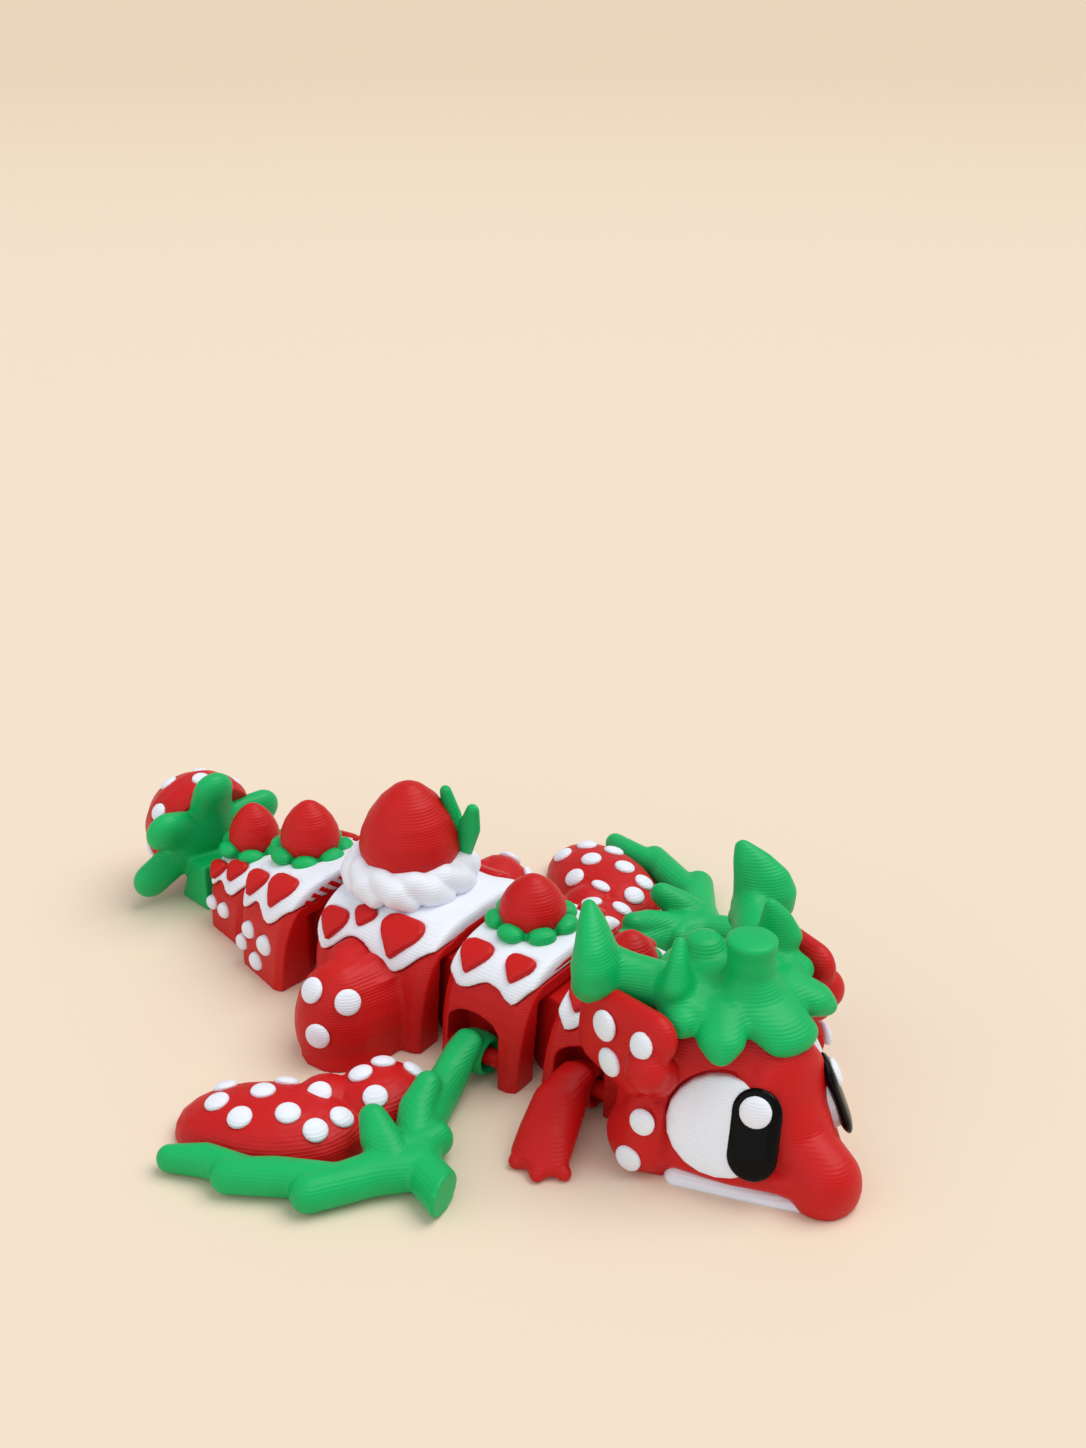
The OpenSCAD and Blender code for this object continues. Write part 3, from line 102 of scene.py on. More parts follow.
def printed_plastic(slot, code, shade_code, roughness, layer_depth=0.009, shine=0.3):
    """Satin PLA from a layer printer: the layers follow the height, so steep walls get fine lines
    and gentle tops get contour rings, and the extruder leaves slight waves in them."""
    material = bpy.data.materials.new(SLOT_MATERIALS[slot])
    material.use_nodes = True
    tree = material.node_tree
    shader = tree.nodes["Principled BSDF"]
    where = add_node(tree, "ShaderNodeTexCoord").outputs["Object"]
    patches = add_node(
        tree, "ShaderNodeTexNoise", {"Vector": where, "Scale": 1 / (PATCH_WIDTH * MM), "Detail": 3.0}
    )
    tint = add_node(
        tree,
        "ShaderNodeMix",
        {"Factor": patches.outputs["Fac"], "A": linear(code), "B": linear(shade_code)},
        data_type="RGBA",
    )
    tree.links.new(tint.outputs["Result"], shader.inputs["Base Color"])
    waves = add_node(
        tree, "ShaderNodeTexNoise", {"Vector": where, "Scale": 1 / (WAVE_WIDTH * MM), "Detail": 1.0}
    )
    height = add_node(tree, "ShaderNodeSeparateXYZ", {"Vector": where}).outputs["Z"]
    wavy_height = add_node(
        tree,
        "ShaderNodeMath",
        {0: waves.outputs["Fac"], 1: WAVE_HEIGHT * MM, 2: height},
        operation="MULTIPLY_ADD",
    )
    layer_height = bpy.context.scene.dragon_sizes.layer_height
    turns = add_node(
        tree,
        "ShaderNodeMath",
        {0: wavy_height.outputs[0], 1: 2 * math.pi / layer_height},
        operation="MULTIPLY",
    )
    layers = add_node(tree, "ShaderNodeMath", {0: turns.outputs[0]}, operation="SINE")
    bump = add_node(
        tree,
        "ShaderNodeBump",
        {"Height": layers.outputs[0], "Strength": 0.8, "Distance": layer_depth * MM},
    )
    tree.links.new(bump.outputs["Normal"], shader.inputs["Normal"])
    shader.inputs["Roughness"].default_value = roughness
    shader.inputs["IOR"].default_value = 1.46
    shader.inputs["Specular IOR Level"].default_value = shine


# Where the painted shade on the paper starts and stops deepening, in metres from the toy
PAINTED_SHADE_START = 0.05
PAINTED_SHADE_END = 1.2


def backdrop_paper(code, far_shade_code):
    """Matte studio paper with painted shade: a little darker and warmer away from the toy, where the light
    falls off.
    """
    material = bpy.data.materials.new("matte backdrop paper")
    material.use_nodes = True
    tree = material.node_tree
    shader = tree.nodes["Principled BSDF"]
    where = add_node(tree, "ShaderNodeTexCoord").outputs["Object"]
    away = add_node(tree, "ShaderNodeVectorMath", {0: where}, operation="LENGTH").outputs["Value"]
    # painted shade: the paper darkens with the distance from the toy, standing in for the light falling off
    painted_shade = add_node(
        tree,
        "ShaderNodeMapRange",
        {"Value": away, "From Min": PAINTED_SHADE_START, "From Max": PAINTED_SHADE_END},
        interpolation_type="SMOOTHSTEP",
    )
    tint = add_node(
        tree,
        "ShaderNodeMix",
        {"Factor": painted_shade.outputs["Result"], "A": linear(code), "B": linear(far_shade_code)},
        data_type="RGBA",
    )
    tree.links.new(tint.outputs["Result"], shader.inputs["Base Color"])
    shader.inputs["Roughness"].default_value = 0.95
    shader.inputs["Specular IOR Level"].default_value = 0.1
    return material


def plastic_of(slot):
    """The plastic of a record slot."""
    return bpy.data.materials[SLOT_MATERIALS[slot]]


# Forms in millimetres. A row is an ellipsoid: x, y, z, its three reaches and a turn in degrees.
# Rows are given for the left side, and side -1 mirrors them.


def ball(bm, row, side=1):
    """Add the ellipsoid of a row."""
    x, y, z, reach_x, reach_y, reach_z = row[:6]
    turn = row[6] if len(row) > 6 else 0.0
    place = Matrix.Translation((x, side * y, z)) @ Matrix.Rotation(math.radians(side * turn), 4, "Z")
    bmesh.ops.create_icosphere(
        bm, subdivisions=3, radius=1.0, matrix=place @ Matrix.Diagonal((reach_x, reach_y, reach_z, 1.0))
    )


def join_mesh(bm, part):
    """Move the mesh of one part into another mesh."""
    held = bpy.data.meshes.new("part")
    part.to_mesh(held)
    part.free()
    bm.from_mesh(held)
    bpy.data.meshes.remove(held)


def cut_flat(part, point, outward):
    """Cut a closed part off beyond a plane and close the cut."""
    everything = part.verts[:] + part.edges[:] + part.faces[:]
    bmesh.ops.bisect_plane(part, geom=everything, plane_co=point, plane_no=outward, clear_outer=True)
    rim = [edge for edge in part.edges if edge.is_boundary]
    bmesh.ops.holes_fill(part, edges=rim, sides=0)


def stand_on_ground(part):
    """Cut a part flat where it would sink into the ground."""
    if min(vert.co.z for vert in part.verts) < 0.0:
        cut_flat(part, ORIGIN, DOWN)


def tighten(part):
    """Leave only the tight skin over the points of a part."""
    bmesh.ops.delete(part, geom=part.edges[:] + part.faces[:], context="EDGES_FACES")
    skin = bmesh.ops.convex_hull(part, input=part.verts)
    spare = skin["geom_interior"] + skin["geom_unused"]
    inner = {item for item in spare if isinstance(item, bmesh.types.BMVert)}
    bmesh.ops.delete(part, geom=list(inner), context="VERTS")


def skin_over(bm, rows, side=1, on_ground=False):
    """Add one tight skin over several ellipsoids."""
    part = bmesh.new()
    for row in rows:
        ball(part, row, side)
    tighten(part)
    if on_ground:
        stand_on_ground(part)
    join_mesh(bm, part)


def limb(bm, rows, side=1, on_ground=False):
    """Add a rounded limb through ellipsoids, each joined to the next by a tight skin."""
    for pair in zip(rows, rows[1:]):
        skin_over(bm, pair, side, on_ground)


def lentil(bm, at, outward, reach, proud, side=1):
    """Add a low round dot that sits on a skin and faces outward."""
    facing = Vector((outward[0], side * outward[1], outward[2])).to_track_quat("Z", "Y").to_matrix()
    place = Matrix.Translation((at[0], side * at[1], at[2])) @ facing.to_4x4()
    bmesh.ops.create_icosphere(
        bm, subdivisions=3, radius=1.0, matrix=place @ Matrix.Diagonal((reach, reach, proud, 1.0))
    )


def point_over(row, around, up, share):
    """The point at two angles in degrees round and up an ellipsoid, at a share of its reaches."""
    around, up = math.radians(around), math.radians(up)
    out = Vector((math.cos(up) * math.cos(around), math.cos(up) * math.sin(around), math.sin(up)))
    local = Matrix.Diagonal(row[3:6]) @ out * share
    return Vector(row[:3]) + Matrix.Rotation(math.radians(row[6]), 3, "Z") @ local


def way_out(row, point):
    """The way that the skin of an ellipsoid faces at a point on it."""
    turned = Matrix.Rotation(math.radians(row[6]), 3, "Z")
    local = turned.transposed() @ (Vector(point) - Vector(row[:3]))
    return turned @ Vector([local[i] / row[3 + i] ** 2 for i in range(3)])


def height_over(row, x, y):
    """The height of the top skin of an ellipsoid over x and y, held up near its rim."""
    turned = Matrix.Rotation(math.radians(row[6]), 3, "Z")
    local = turned.transposed() @ Vector((x - row[0], y - row[1], 0.0))
    rise = max(0.02, 1.0 - (local.x / row[3]) ** 2 - (local.y / row[4]) ** 2)
    return row[2] + row[5] * math.sqrt(rise)


def eyelet(bm, pin, bore, wall, half_length, side=1):
    """Add the ring of a hinge around a level pin along X."""
    part = bmesh.new()
    centre = Vector((pin[0], side * pin[1], pin[2]))
    section = Matrix.Translation(centre + Vector((0.0, bore + wall / 2, 0.0)))
    bmesh.ops.create_circle(
        part, segments=16, radius=1.0, matrix=section @ Matrix.Diagonal((half_length, wall / 2, 1.0, 1.0))
    )
    bmesh.ops.spin(
        part,
        geom=part.verts[:] + part.edges[:],
        cent=centre,
        axis=(1.0, 0.0, 0.0),
        angle=2 * math.pi,
        steps=40,
        use_merge=True,
    )
    join_mesh(bm, part)


def cad_copy(node):
    """A closed copy of a carried-over node in millimetres."""
    part = bmesh.new()
    part.from_mesh(frame["nodes"][node].data)
    bmesh.ops.scale(part, vec=(1 / MM, 1 / MM, 1 / MM), verts=part.verts)
    bmesh.ops.remove_doubles(part, verts=part.verts, dist=0.001)
    return part


def cad_box(node):
    """The two corners of a carried-over node's box in millimetres."""
    return [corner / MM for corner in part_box(node)]


def soften(obj, voxel, rounds):
    """Round every edge of a piece as the nozzle leaves it."""
    remesh = obj.modifiers.new("nozzle rounding", "REMESH")
    remesh.mode = "VOXEL"
    remesh.voxel_size = voxel * MM
    remesh.use_smooth_shade = True
    smooth = obj.modifiers.new("melted edges", "SMOOTH")
    smooth.factor = 0.5
    smooth.iterations = rounds


def printed_piece(name, bm, body, slot, node, voxel, rounds, place=None):
    """Weld overlapping parts into one printed skin, place it in metres and let it ride."""
    if place is not None:
        bmesh.ops.transform(bm, matrix=place, verts=bm.verts)
    bmesh.ops.scale(bm, vec=(MM, MM, MM), verts=bm.verts)
    bmesh.ops.recalc_face_normals(bm, faces=bm.faces)
    mesh = bpy.data.meshes.new(name)
    bm.to_mesh(mesh)
    bm.free()
    mesh.materials.append(plastic_of(slot))
    obj = bpy.data.objects.new(name, mesh)
    bpy.context.scene.collection.objects.link(obj)
    soften(obj, voxel, rounds)
    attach(obj, body)
    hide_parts(node)


def pin_place(joint, turn):
    """The frame of a body that stands turned on its upright pin."""
    x, y = JOINT_PLACES[joint][:2]
    return Matrix.Translation((x / MM, y / MM, 0.0)) @ Matrix.Rotation(math.radians(turn), 4, "Z")


# How far the head, the neck and the tip of the tail are turned at rest, in degrees
HEAD_TURN = -17.5
NECK_TURN = 3.0
TIP_TURN = -10.0
HEAD_PLACE = pin_place("head_turn", HEAD_TURN)
NECK_PLACE = pin_place("neck_turn", NECK_TURN)
TIP_PLACE = pin_place("tail_tip_turn", TIP_TURN)


# What a user would change


class DragonColours(bpy.types.PropertyGroup):
    """Colours of the printed plastics"""

    red: bpy.props.StringProperty(name="Red", description="Sponge and berries", default="#CE1415")
    dull_red: bpy.props.StringProperty(name="Dull red", description="Patches in the red", default="#C0100F")
    green: bpy.props.StringProperty(name="Green", description="Leaves", default="#0CC069")
    dull_green: bpy.props.StringProperty(
        name="Dull green", description="Patches in the green", default="#06A85A"
    )
    white: bpy.props.StringProperty(name="White", description="Icing, eyes and dots", default="#F0F5FF")
    dull_white: bpy.props.StringProperty(
        name="Dull white", description="Patches in the white", default="#E6ECF8"
    )
    black: bpy.props.StringProperty(name="Black", description="Pupils", default="#0B0B0C")
    dull_black: bpy.props.StringProperty(
        name="Dull black", description="Patches in the black", default="#050506"
    )
    floor: bpy.props.StringProperty(name="Floor", description="Backdrop at the toy", default="#ECDBC6")
    # painted shade: the backdrop colour far from the toy, where the light falls off
    far_floor_shade: bpy.props.StringProperty(
        name="Far floor", description="Backdrop far from the toy", default="#E3CEB5"
    )


class DragonSizes(bpy.types.PropertyGroup):
    """Sizes of the finished pieces"""

    layer_height: bpy.props.FloatProperty(
        name="Layer height",
        description="Height of one printed layer",
        default=0.2 * MM,
        min=0.1 * MM,
        max=0.4 * MM,
        precision=5,
        subtype="DISTANCE",
    )
    wing_dot: bpy.props.FloatProperty(
        name="Wing dot",
        description="Radius of a dot on the berries of the wings",
        default=0.92 * MM,
        min=0.5 * MM,
        max=1.2 * MM,
        precision=5,
        subtype="DISTANCE",
    )
    swirls: bpy.props.IntProperty(
        name="Swirls", description="Swirls in the whipped ring", default=10, min=6, max=14
    )


# The pieces


class DRAGON_OT_plastics(bpy.types.Operator):
    """Make the printed plastics"""

    bl_idname = "dragon.plastics"
    bl_label = "Plastics"

    def execute(self, context):
        colours = context.scene.dragon_colours
        printed_plastic("red_plastic", colours.red, colours.dull_red, roughness=0.45)
        printed_plastic("green_plastic", colours.green, colours.dull_green, roughness=0.42)
        printed_plastic("white_plastic", colours.white, colours.dull_white, roughness=0.45)
        # the pupils are so flat and glossy that their layers hardly show
        printed_plastic(
            "black_plastic",
            colours.black,
            colours.dull_black,
            roughness=0.16,
            layer_depth=0.0015,
            shine=0.12,
        )
        return {"FINISHED"}


# How a carried-over piece is rounded, as its voxel and its rounds of smoothing; the icing runs softer
CAD_ROUNDING = (0.12, 3)
ICING_ROUNDING = (0.16, 45)


class DRAGON_OT_cad_pieces(bpy.types.Operator):
    """Give the carried-over pieces their plastic and their rounded edges"""

    bl_idname = "dragon.cad_pieces"
    bl_label = "Carried-over pieces"

    def execute(self, context):
        slots = {part["node"]: part["material_slot"] for part in frame["record"]["subparts"]}
        for name, node in frame["nodes"].items():
            node.data.materials.clear()
            node.data.materials.append(plastic_of(slots[name]))
            voxel, rounds = ICING_ROUNDING if name.endswith("_icing") else CAD_ROUNDING
            soften(node, voxel, rounds)
        return {"FINISHED"}


# The crown, in the frame of the head with X from its pin toward the nose: the cap, its lobes and the
# webs between them, the upright leaves, the ears on their stalks and the two cut stems
CAP = [
    (3.0, 0.0, 11.9, 2.0, 3.2, 1.1),
    (6.0, 0.0, 12.1, 2.4, 4.6, 1.2),
    (8.6, 0.0, 11.9, 2.2, 3.4, 1.3),
]
FRONT_LOBE = [
    (8.6, 0.0, 11.9, 2.2, 3.0, 1.3),
    (10.8, 0.1, 11.0, 1.9, 2.4, 1.2),
    (12.0, 0.3, 10.4, 1.3, 2.2, 1.1),
]
FRONT_WEB = [
    (8.0, 1.0, 12.0, 1.5, 1.5, 1.0),
    (10.0, 1.6, 11.2, 1.2, 1.2, 0.9),
    (9.0, 3.2, 11.4, 1.2, 1.2, 0.9),
]
SIDE_WEB = [
    (6.2, 2.0, 12.2, 1.5, 1.5, 1.0),
    (8.4, 3.4, 11.6, 1.2, 1.2, 0.9),
    (6.4, 4.8, 12.2, 1.2, 1.2, 0.9),
]
LOBE_OVER_EYE = [
    (8.4, 2.6, 11.7, 2.0, 1.9, 1.2),
    (9.9, 4.0, 10.9, 1.7, 1.6, 1.1),
    (10.6, 4.7, 10.5, 1.0, 0.9, 0.8),
]
LOBE_OVER_CHEEK = [(5.8, 4.2, 12.1, 1.8, 1.6, 1.2), (7.4, 5.2, 11.4, 1.25, 1.25, 1.1)]
# How far the upright leaf and the ear are turned across the head, in degrees
LEAF_TURN = 53.0
UPRIGHT_LEAF = [
    (5.2, 3.9, 12.2, 2.2, 1.7, 1.3, LEAF_TURN),
    (6.1, 4.6, 13.6, 1.7, 1.0, 1.2, LEAF_TURN),
    (6.0, 4.4, 15.0, 1.15, 0.7, 0.9, LEAF_TURN),
    (5.7, 4.1, 16.1, 0.5, 0.45, 0.5, LEAF_TURN),
]
EAR = [
    (1.0, 7.2, 11.7, 1.9, 1.75, 1.1, LEAF_TURN),
    (1.6, 7.6, 12.8, 2.15, 1.75, 1.0, LEAF_TURN),
    (1.5, 7.7, 14.0, 2.3, 1.65, 1.0, LEAF_TURN),
    (1.2, 7.6, 15.1, 2.05, 1.3, 0.9, LEAF_TURN),
    (0.5, 7.3, 16.2, 1.45, 0.95, 0.7, LEAF_TURN),
    (-0.25, 6.95, 17.1, 0.6, 0.5, 0.5, LEAF_TURN),
]
EAR_STALK = [
    (1.3, 6.8, 12.7, 1.7, 1.6, 2.2),
    (2.6, 5.7, 12.4, 1.6, 1.6, 1.9),
    (4.3, 4.4, 12.2, 1.7, 1.7, 1.7),
    (6.6, 2.6, 12.1, 1.8, 1.8, 1.2),
]
FRONT_STEM = [
    (8.2, 0.0, 12.4, 2.6, 2.6, 0.6),
    (8.25, 0.0, 13.7, 1.65, 1.65, 0.4),
    (8.2, 0.0, 15.2, 1.6, 1.6, 0.4),
    (8.2, 0.0, 16.1, 1.8, 1.8, 0.3),
]
REAR_STEM = [(3.9, 0.0, 12.4, 2.2, 2.2, 0.5), (3.57, 0.0, 14.0, 1.2, 1.2, 0.3)]


class DRAGON_OT_crown(bpy.types.Operator):
    """Make the crown of leaves with the ears and the cut stems"""

    bl_idname = "dragon.crown"
    bl_label = "Leaf crown"

    def execute(self, context):
        bm = bmesh.new()
        limb(bm, CAP)
        limb(bm, FRONT_LOBE)
        for side, _ in SIDES:
            skin_over(bm, FRONT_WEB, side)
            skin_over(bm, SIDE_WEB, side)
            for rows in (LOBE_OVER_EYE, LOBE_OVER_CHEEK, UPRIGHT_LEAF, EAR, EAR_STALK):
                limb(bm, rows, side)
        limb(bm, FRONT_STEM)
        limb(bm, REAR_STEM)
        printed_piece(
            "crown", bm, "head", "green_plastic", "leaf_crown", voxel=0.17, rounds=12, place=HEAD_PLACE
        )
        return {"FINISHED"}


# The head, in the same frame; its back is the CAD shell up to these planes
FACE_FROM = 11.4
FLAP_FROM = 7.8
BROW_TO_NOSE = [
    (10.6, 0.0, 6.0, 1.6, 3.6, 5.0),
    (12.2, 0.0, 6.2, 1.7, 3.4, 4.0),
    (13.0, 0.0, 3.8, 1.6, 3.0, 3.9),
    (14.5, 0.0, 2.3, 1.4, 2.6, 2.7),
    (16.3, 0.0, 1.4, 2.25, 2.5, 2.7),
]
EAR_FLAP = [
    (2.2, 7.9, 8.2, 2.0, 0.9, 1.9),
    (2.4, 7.7, 10.8, 2.1, 1.0, 1.9),
    (5.9, 7.9, 7.2, 1.2, 0.9, 1.2),
    (7.2, 7.2, 11.0, 1.8, 1.1, 1.7),
]
FLAP_LUMP = (7.4, 8.0, 8.8, 1.6, 1.5, 1.6)
CHEEK = [(5.7, 7.1, 2.0, 2.7, 1.9, 2.4), (6.5, 7.1, 4.5, 1.6, 1.6, 1.8)]
LIP = [
    (8.4, 6.0, 1.8, 1.05, 1.05, 1.0),
    (11.7, 4.2, 1.5, 1.0, 1.0, 0.8),
    (14.2, 2.3, 1.6, 1.1, 1.1, 0.9),
    (15.8, 1.2, 1.6, 1.4, 1.3, 1.3),
]
CHIN = [
    (8.7, 6.1, 0.1, 1.0, 1.0, 0.95),
    (11.8, 4.1, 0.1, 0.95, 0.95, 0.85),
    (14.3, 2.4, 0.0, 0.9, 0.9, 0.7),
    (15.7, 1.4, 0.0, 0.8, 0.8, 0.5),
]
# Each dot as its place, the way it faces and its radius: three on the ear flap, two on the cheek
HEAD_DOTS = (
    ((3.85, 8.8, 10.6), (0.0, 1.0, 0.1), 1.1),
    ((4.5, 8.85, 8.1), (0.0, 1.0, 0.0), 1.05),
    ((7.2, 8.45, 10.75), (0.1, 1.0, 0.3), 0.95),
    ((7.5, 8.45, 4.9), (0.35, 1.0, 0.2), 0.95),
    ((6.65, 8.85, 1.6), (0.3, 1.0, -0.05), 1.0),
)
# How far the dots on the head and the haunches stand out
DOT_PROUD = 0.42
# In the frame of an eye: the bed in the head that the white lies on
EYE_BED = (0.0, 0.0, -0.95, 4.1, 3.85, 0.95)
# The middle of an eye on the head, and how far it is turned outward and tipped from facing up
EYE_CENTRE = (11.2, 4.65, 5.0)
EYE_TURN = 55.6
EYE_LEAN = 70.0


def eye_place(side):
    """The frame of an eye in the head: X level along it, Y up across it and Z out of the head."""
    return (
        Matrix.Translation((EYE_CENTRE[0], side * EYE_CENTRE[1], EYE_CENTRE[2]))
        @ Matrix.Rotation(math.radians(side * EYE_TURN), 4, "Z")
        @ Matrix.Rotation(math.radians(EYE_LEAN), 4, "Y")
        @ Matrix.Rotation(math.radians(90.0), 4, "Z")
    )


class DRAGON_OT_head(bpy.types.Operator):
    """Make the head with its concave nose, ear flaps, cheeks, dots and chin band"""

    bl_idname = "dragon.head"
    bl_label = "Head"

    def execute(self, context):
        back = cad_copy("head_shell")
        bmesh.ops.transform(back, matrix=HEAD_PLACE.inverted(), verts=back.verts)
        cut_flat(back, (FACE_FROM, 0.0, 0.0), (1.0, 0.0, 0.0))
        cut_flat(back, (0.0, FLAP_FROM, 0.0), (0.0, 1.0, 0.0))
        cut_flat(back, (0.0, -FLAP_FROM, 0.0), (0.0, -1.0, 0.0))
        bm = bmesh.new()
        join_mesh(bm, back)
        limb(bm, BROW_TO_NOSE, on_ground=True)
        chin, dots = bmesh.new(), bmesh.new()
        for side, _ in SIDES:
            skin_over(bm, EAR_FLAP, side)
            ball(bm, FLAP_LUMP, side)
            limb(bm, CHEEK, side, on_ground=True)
            limb(bm, LIP, side, on_ground=True)
            bed = bmesh.new()
            ball(bed, EYE_BED)
            bmesh.ops.transform(bed, matrix=eye_place(side), verts=bed.verts)
            join_mesh(bm, bed)
            limb(chin, CHIN, side, on_ground=True)
            for at, outward, reach in HEAD_DOTS:
                lentil(dots, at, outward, reach, DOT_PROUD, side)
        printed_piece(
            "head", bm, "head", "red_plastic", "head_shell", voxel=0.17, rounds=8, place=HEAD_PLACE
        )
        printed_piece(
            "dots_on_head",
            dots,
            "head",
            "white_plastic",
            "head_dots",
            voxel=0.12,
            rounds=2,
            place=HEAD_PLACE,
        )
        printed_piece(
            "chin", chin, "head", "white_plastic", "chin_band", voxel=0.1, rounds=3, place=HEAD_PLACE
        )
        return {"FINISHED"}


# In the frame of an eye, seen from outside with the nose toward -X on the left side
EYE_WHITE = [(0.15, 0.0, -0.5, 3.8, 3.5, 0.9), (0.15, 0.0, 0.1, 3.7, 3.4, 0.4)]
PUPIL = [(-2.15, 1.5, 0.4, 1.7, 1.7, 0.5), (-2.15, -1.4, 0.4, 1.7, 1.7, 0.5)]
LIGHT = [(-2.1, 1.65, 0.8, 1.1, 1.1, 0.4)]


class DRAGON_OT_eyes(bpy.types.Operator):
    """Make the domed eyes with tall pupils and lights"""

    bl_idname = "dragon.eyes"
    bl_label = "Eyes"

    def execute(self, context):
        for name, rows, slot, node, voxel in (
            ("eyes", EYE_WHITE, "white_plastic", "eye_whites", 0.14),
            ("pupils", PUPIL, "black_plastic", "eye_pupils", 0.1),
            ("eye_lights", LIGHT, "white_plastic", "eye_highlights", 0.1),
        ):
            bm = bmesh.new()
            for side, _ in SIDES:
                part = bmesh.new()
                skin_over(part, [(side * row[0], *row[1:]) for row in rows])
                bmesh.ops.transform(part, matrix=eye_place(side), verts=part.verts)
                join_mesh(bm, part)
            printed_piece(name, bm, "head", slot, node, voxel=voxel, rounds=2, place=HEAD_PLACE)
        return {"FINISHED"}


# The wings, in the frame of the whole toy with X toward the nose
WING_PIN = [place / MM for place in JOINT_PLACES["wing_left_lift"]]
# The bore, wall and half length of the hinge rings on the wings and legs
HINGE_RING = (0.95, 0.65, 1.3)
WING_STALK = [
    (-0.7, 7.4, 3.55, 1.15, 0.7, 0.7),
    (-0.7, 8.5, 2.8, 1.3, 1.0, 1.1),
    (-0.4, 10.2, 1.9, 1.35, 1.2, 1.5),
    (0.3, 12.7, 1.6, 1.45, 1.4, 1.6),
    (1.5, 16.0, 1.5, 1.6, 1.5, 1.5),
    (3.6, 18.4, 1.4, 1.5, 1.5, 1.4),
    (7.6, 20.0, 1.35, 1.4, 1.55, 1.4),
]
# The cut end of the stalk: a point on it and the way it faces
STALK_CUT = (6.8, 19.7, 0.0)
STALK_CUT_FACES = (0.97, -0.2, 0.0)
WING_LEAVES = (
    # three along the edge of the wing, each starting over the next
    [
        (3.6, 18.6, 1.4, 1.6, 1.6, 1.5),
        (1.6, 20.8, 1.4, 1.6, 1.6, 1.4),
        (-0.6, 24.6, 1.3, 1.35, 1.35, 1.3),
    ],
    [
        (0.4, 22.6, 1.3, 1.2, 1.2, 1.3),
        (-3.6, 24.7, 1.3, 1.4, 1.4, 1.3),
        (-6.2, 26.4, 1.25, 1.2, 1.2, 1.25),
    ],
    [
        (-5.0, 25.4, 1.2, 1.1, 1.1, 1.2),
        (-8.6, 26.1, 1.2, 1.15, 1.15, 1.2),
        (-10.9, 27.2, 1.0, 0.9, 0.9, 1.0),
    ],
    # two that stand up over the berries and a short one toward the front leg
    [
        (2.2, 19.4, 1.6, 1.5, 1.5, 1.4),
        (0.8, 18.9, 2.6, 1.6, 1.3, 1.3),
        (-0.4, 18.3, 3.5, 1.05, 0.95, 0.95),
    ],
    [
        (1.9, 16.8, 1.6, 1.5, 1.5, 1.4),
        (0.6, 14.9, 2.6, 1.35, 1.2, 1.2),
        (0.1, 13.1, 3.4, 0.95, 0.9, 0.9),
    ],
    [
        (2.4, 17.8, 1.5, 1.4, 1.4, 1.5),
        (2.9, 15.6, 1.5, 1.1, 1.1, 1.3),
    ],
)
BIG_BERRY = (-7.8, 20.6, 0.4, 6.9, 4.3, 2.9, -28.0)
SMALL_BERRY = (-3.9, 13.9, 0.4, 3.5, 3.9, 2.7, 0.0)
BERRY_WEB = (-6.5, 16.6, 0.3, 2.6, 2.8, 2.6, 0.0)
# The foot of a berry on the ground: its share of the berry's reaches, and its thickness
FOOT_SHARE = 0.97
FOOT_THICK = 0.3
# The dots by the berry they lie on, each at its place seen from above
WING_DOTS = (
    (BIG_BERRY, ((-12.1, 20.6), (-10.9, 22.6), (-8.3, 23.0), (-8.8, 20.2))),
    (BIG_BERRY, ((-5.8, 20.9), (-3.6, 20.6), (-8.9, 17.8), (-3.2, 18.4))),
    (BERRY_WEB, ((-6.0, 17.6),)),
    (SMALL_BERRY, ((-4.9, 14.5), (-2.6, 15.6), (-4.6, 12.4), (-2.8, 11.2))),
)
# How far these dots stand out of the berries
WING_DOT_PROUD = 0.38


class DRAGON_OT_wings(bpy.types.Operator):
    """Make the wings: leafy stems, flat berries and dots"""

    bl_idname = "dragon.wings"
    bl_label = "Wings"

    def execute(self, context):
        dot_reach = context.scene.dragon_sizes.wing_dot / MM
        for side, name in SIDES:
            wing = "wing_" + name
            bm = bmesh.new()
            eyelet(bm, WING_PIN, *HINGE_RING, side)
            stalk = bmesh.new()
            limb(stalk, WING_STALK, side, on_ground=True)
            cut_flat(
                stalk,
                (STALK_CUT[0], side * STALK_CUT[1], STALK_CUT[2]),
                (STALK_CUT_FACES[0], side * STALK_CUT_FACES[1], STALK_CUT_FACES[2]),
            )
            join_mesh(bm, stalk)
            for leaf in WING_LEAVES:
                limb(bm, leaf, side, on_ground=True)
            printed_piece(
                "wing_stem_" + name, bm, wing, "green_plastic", wing + "_stem", voxel=0.16, rounds=5
            )
            bm = bmesh.new()
            for x, y, z, reach_x, reach_y, reach_z, turn in (BIG_BERRY, SMALL_BERRY, BERRY_WEB):
                foot = (x, y, 0.0, reach_x * FOOT_SHARE, reach_y * FOOT_SHARE, FOOT_THICK, turn)
                skin_over(bm, [(x, y, z, reach_x, reach_y, reach_z, turn), foot], side, on_ground=True)
            printed_piece(
                "wing_berries_" + name, bm, wing, "red_plastic", wing + "_berries", voxel=0.15, rounds=3
            )
            bm = bmesh.new()
            for berry, places in WING_DOTS:
                for x, y in places:
                    at = (x, y, height_over(berry, x, y))
                    lentil(bm, at, way_out(berry, at), dot_reach, WING_DOT_PROUD, side)
            printed_piece(
                "wing_dots_" + name, bm, wing, "white_plastic", wing + "_dots", voxel=0.12, rounds=2
            )
        return {"FINISHED"}


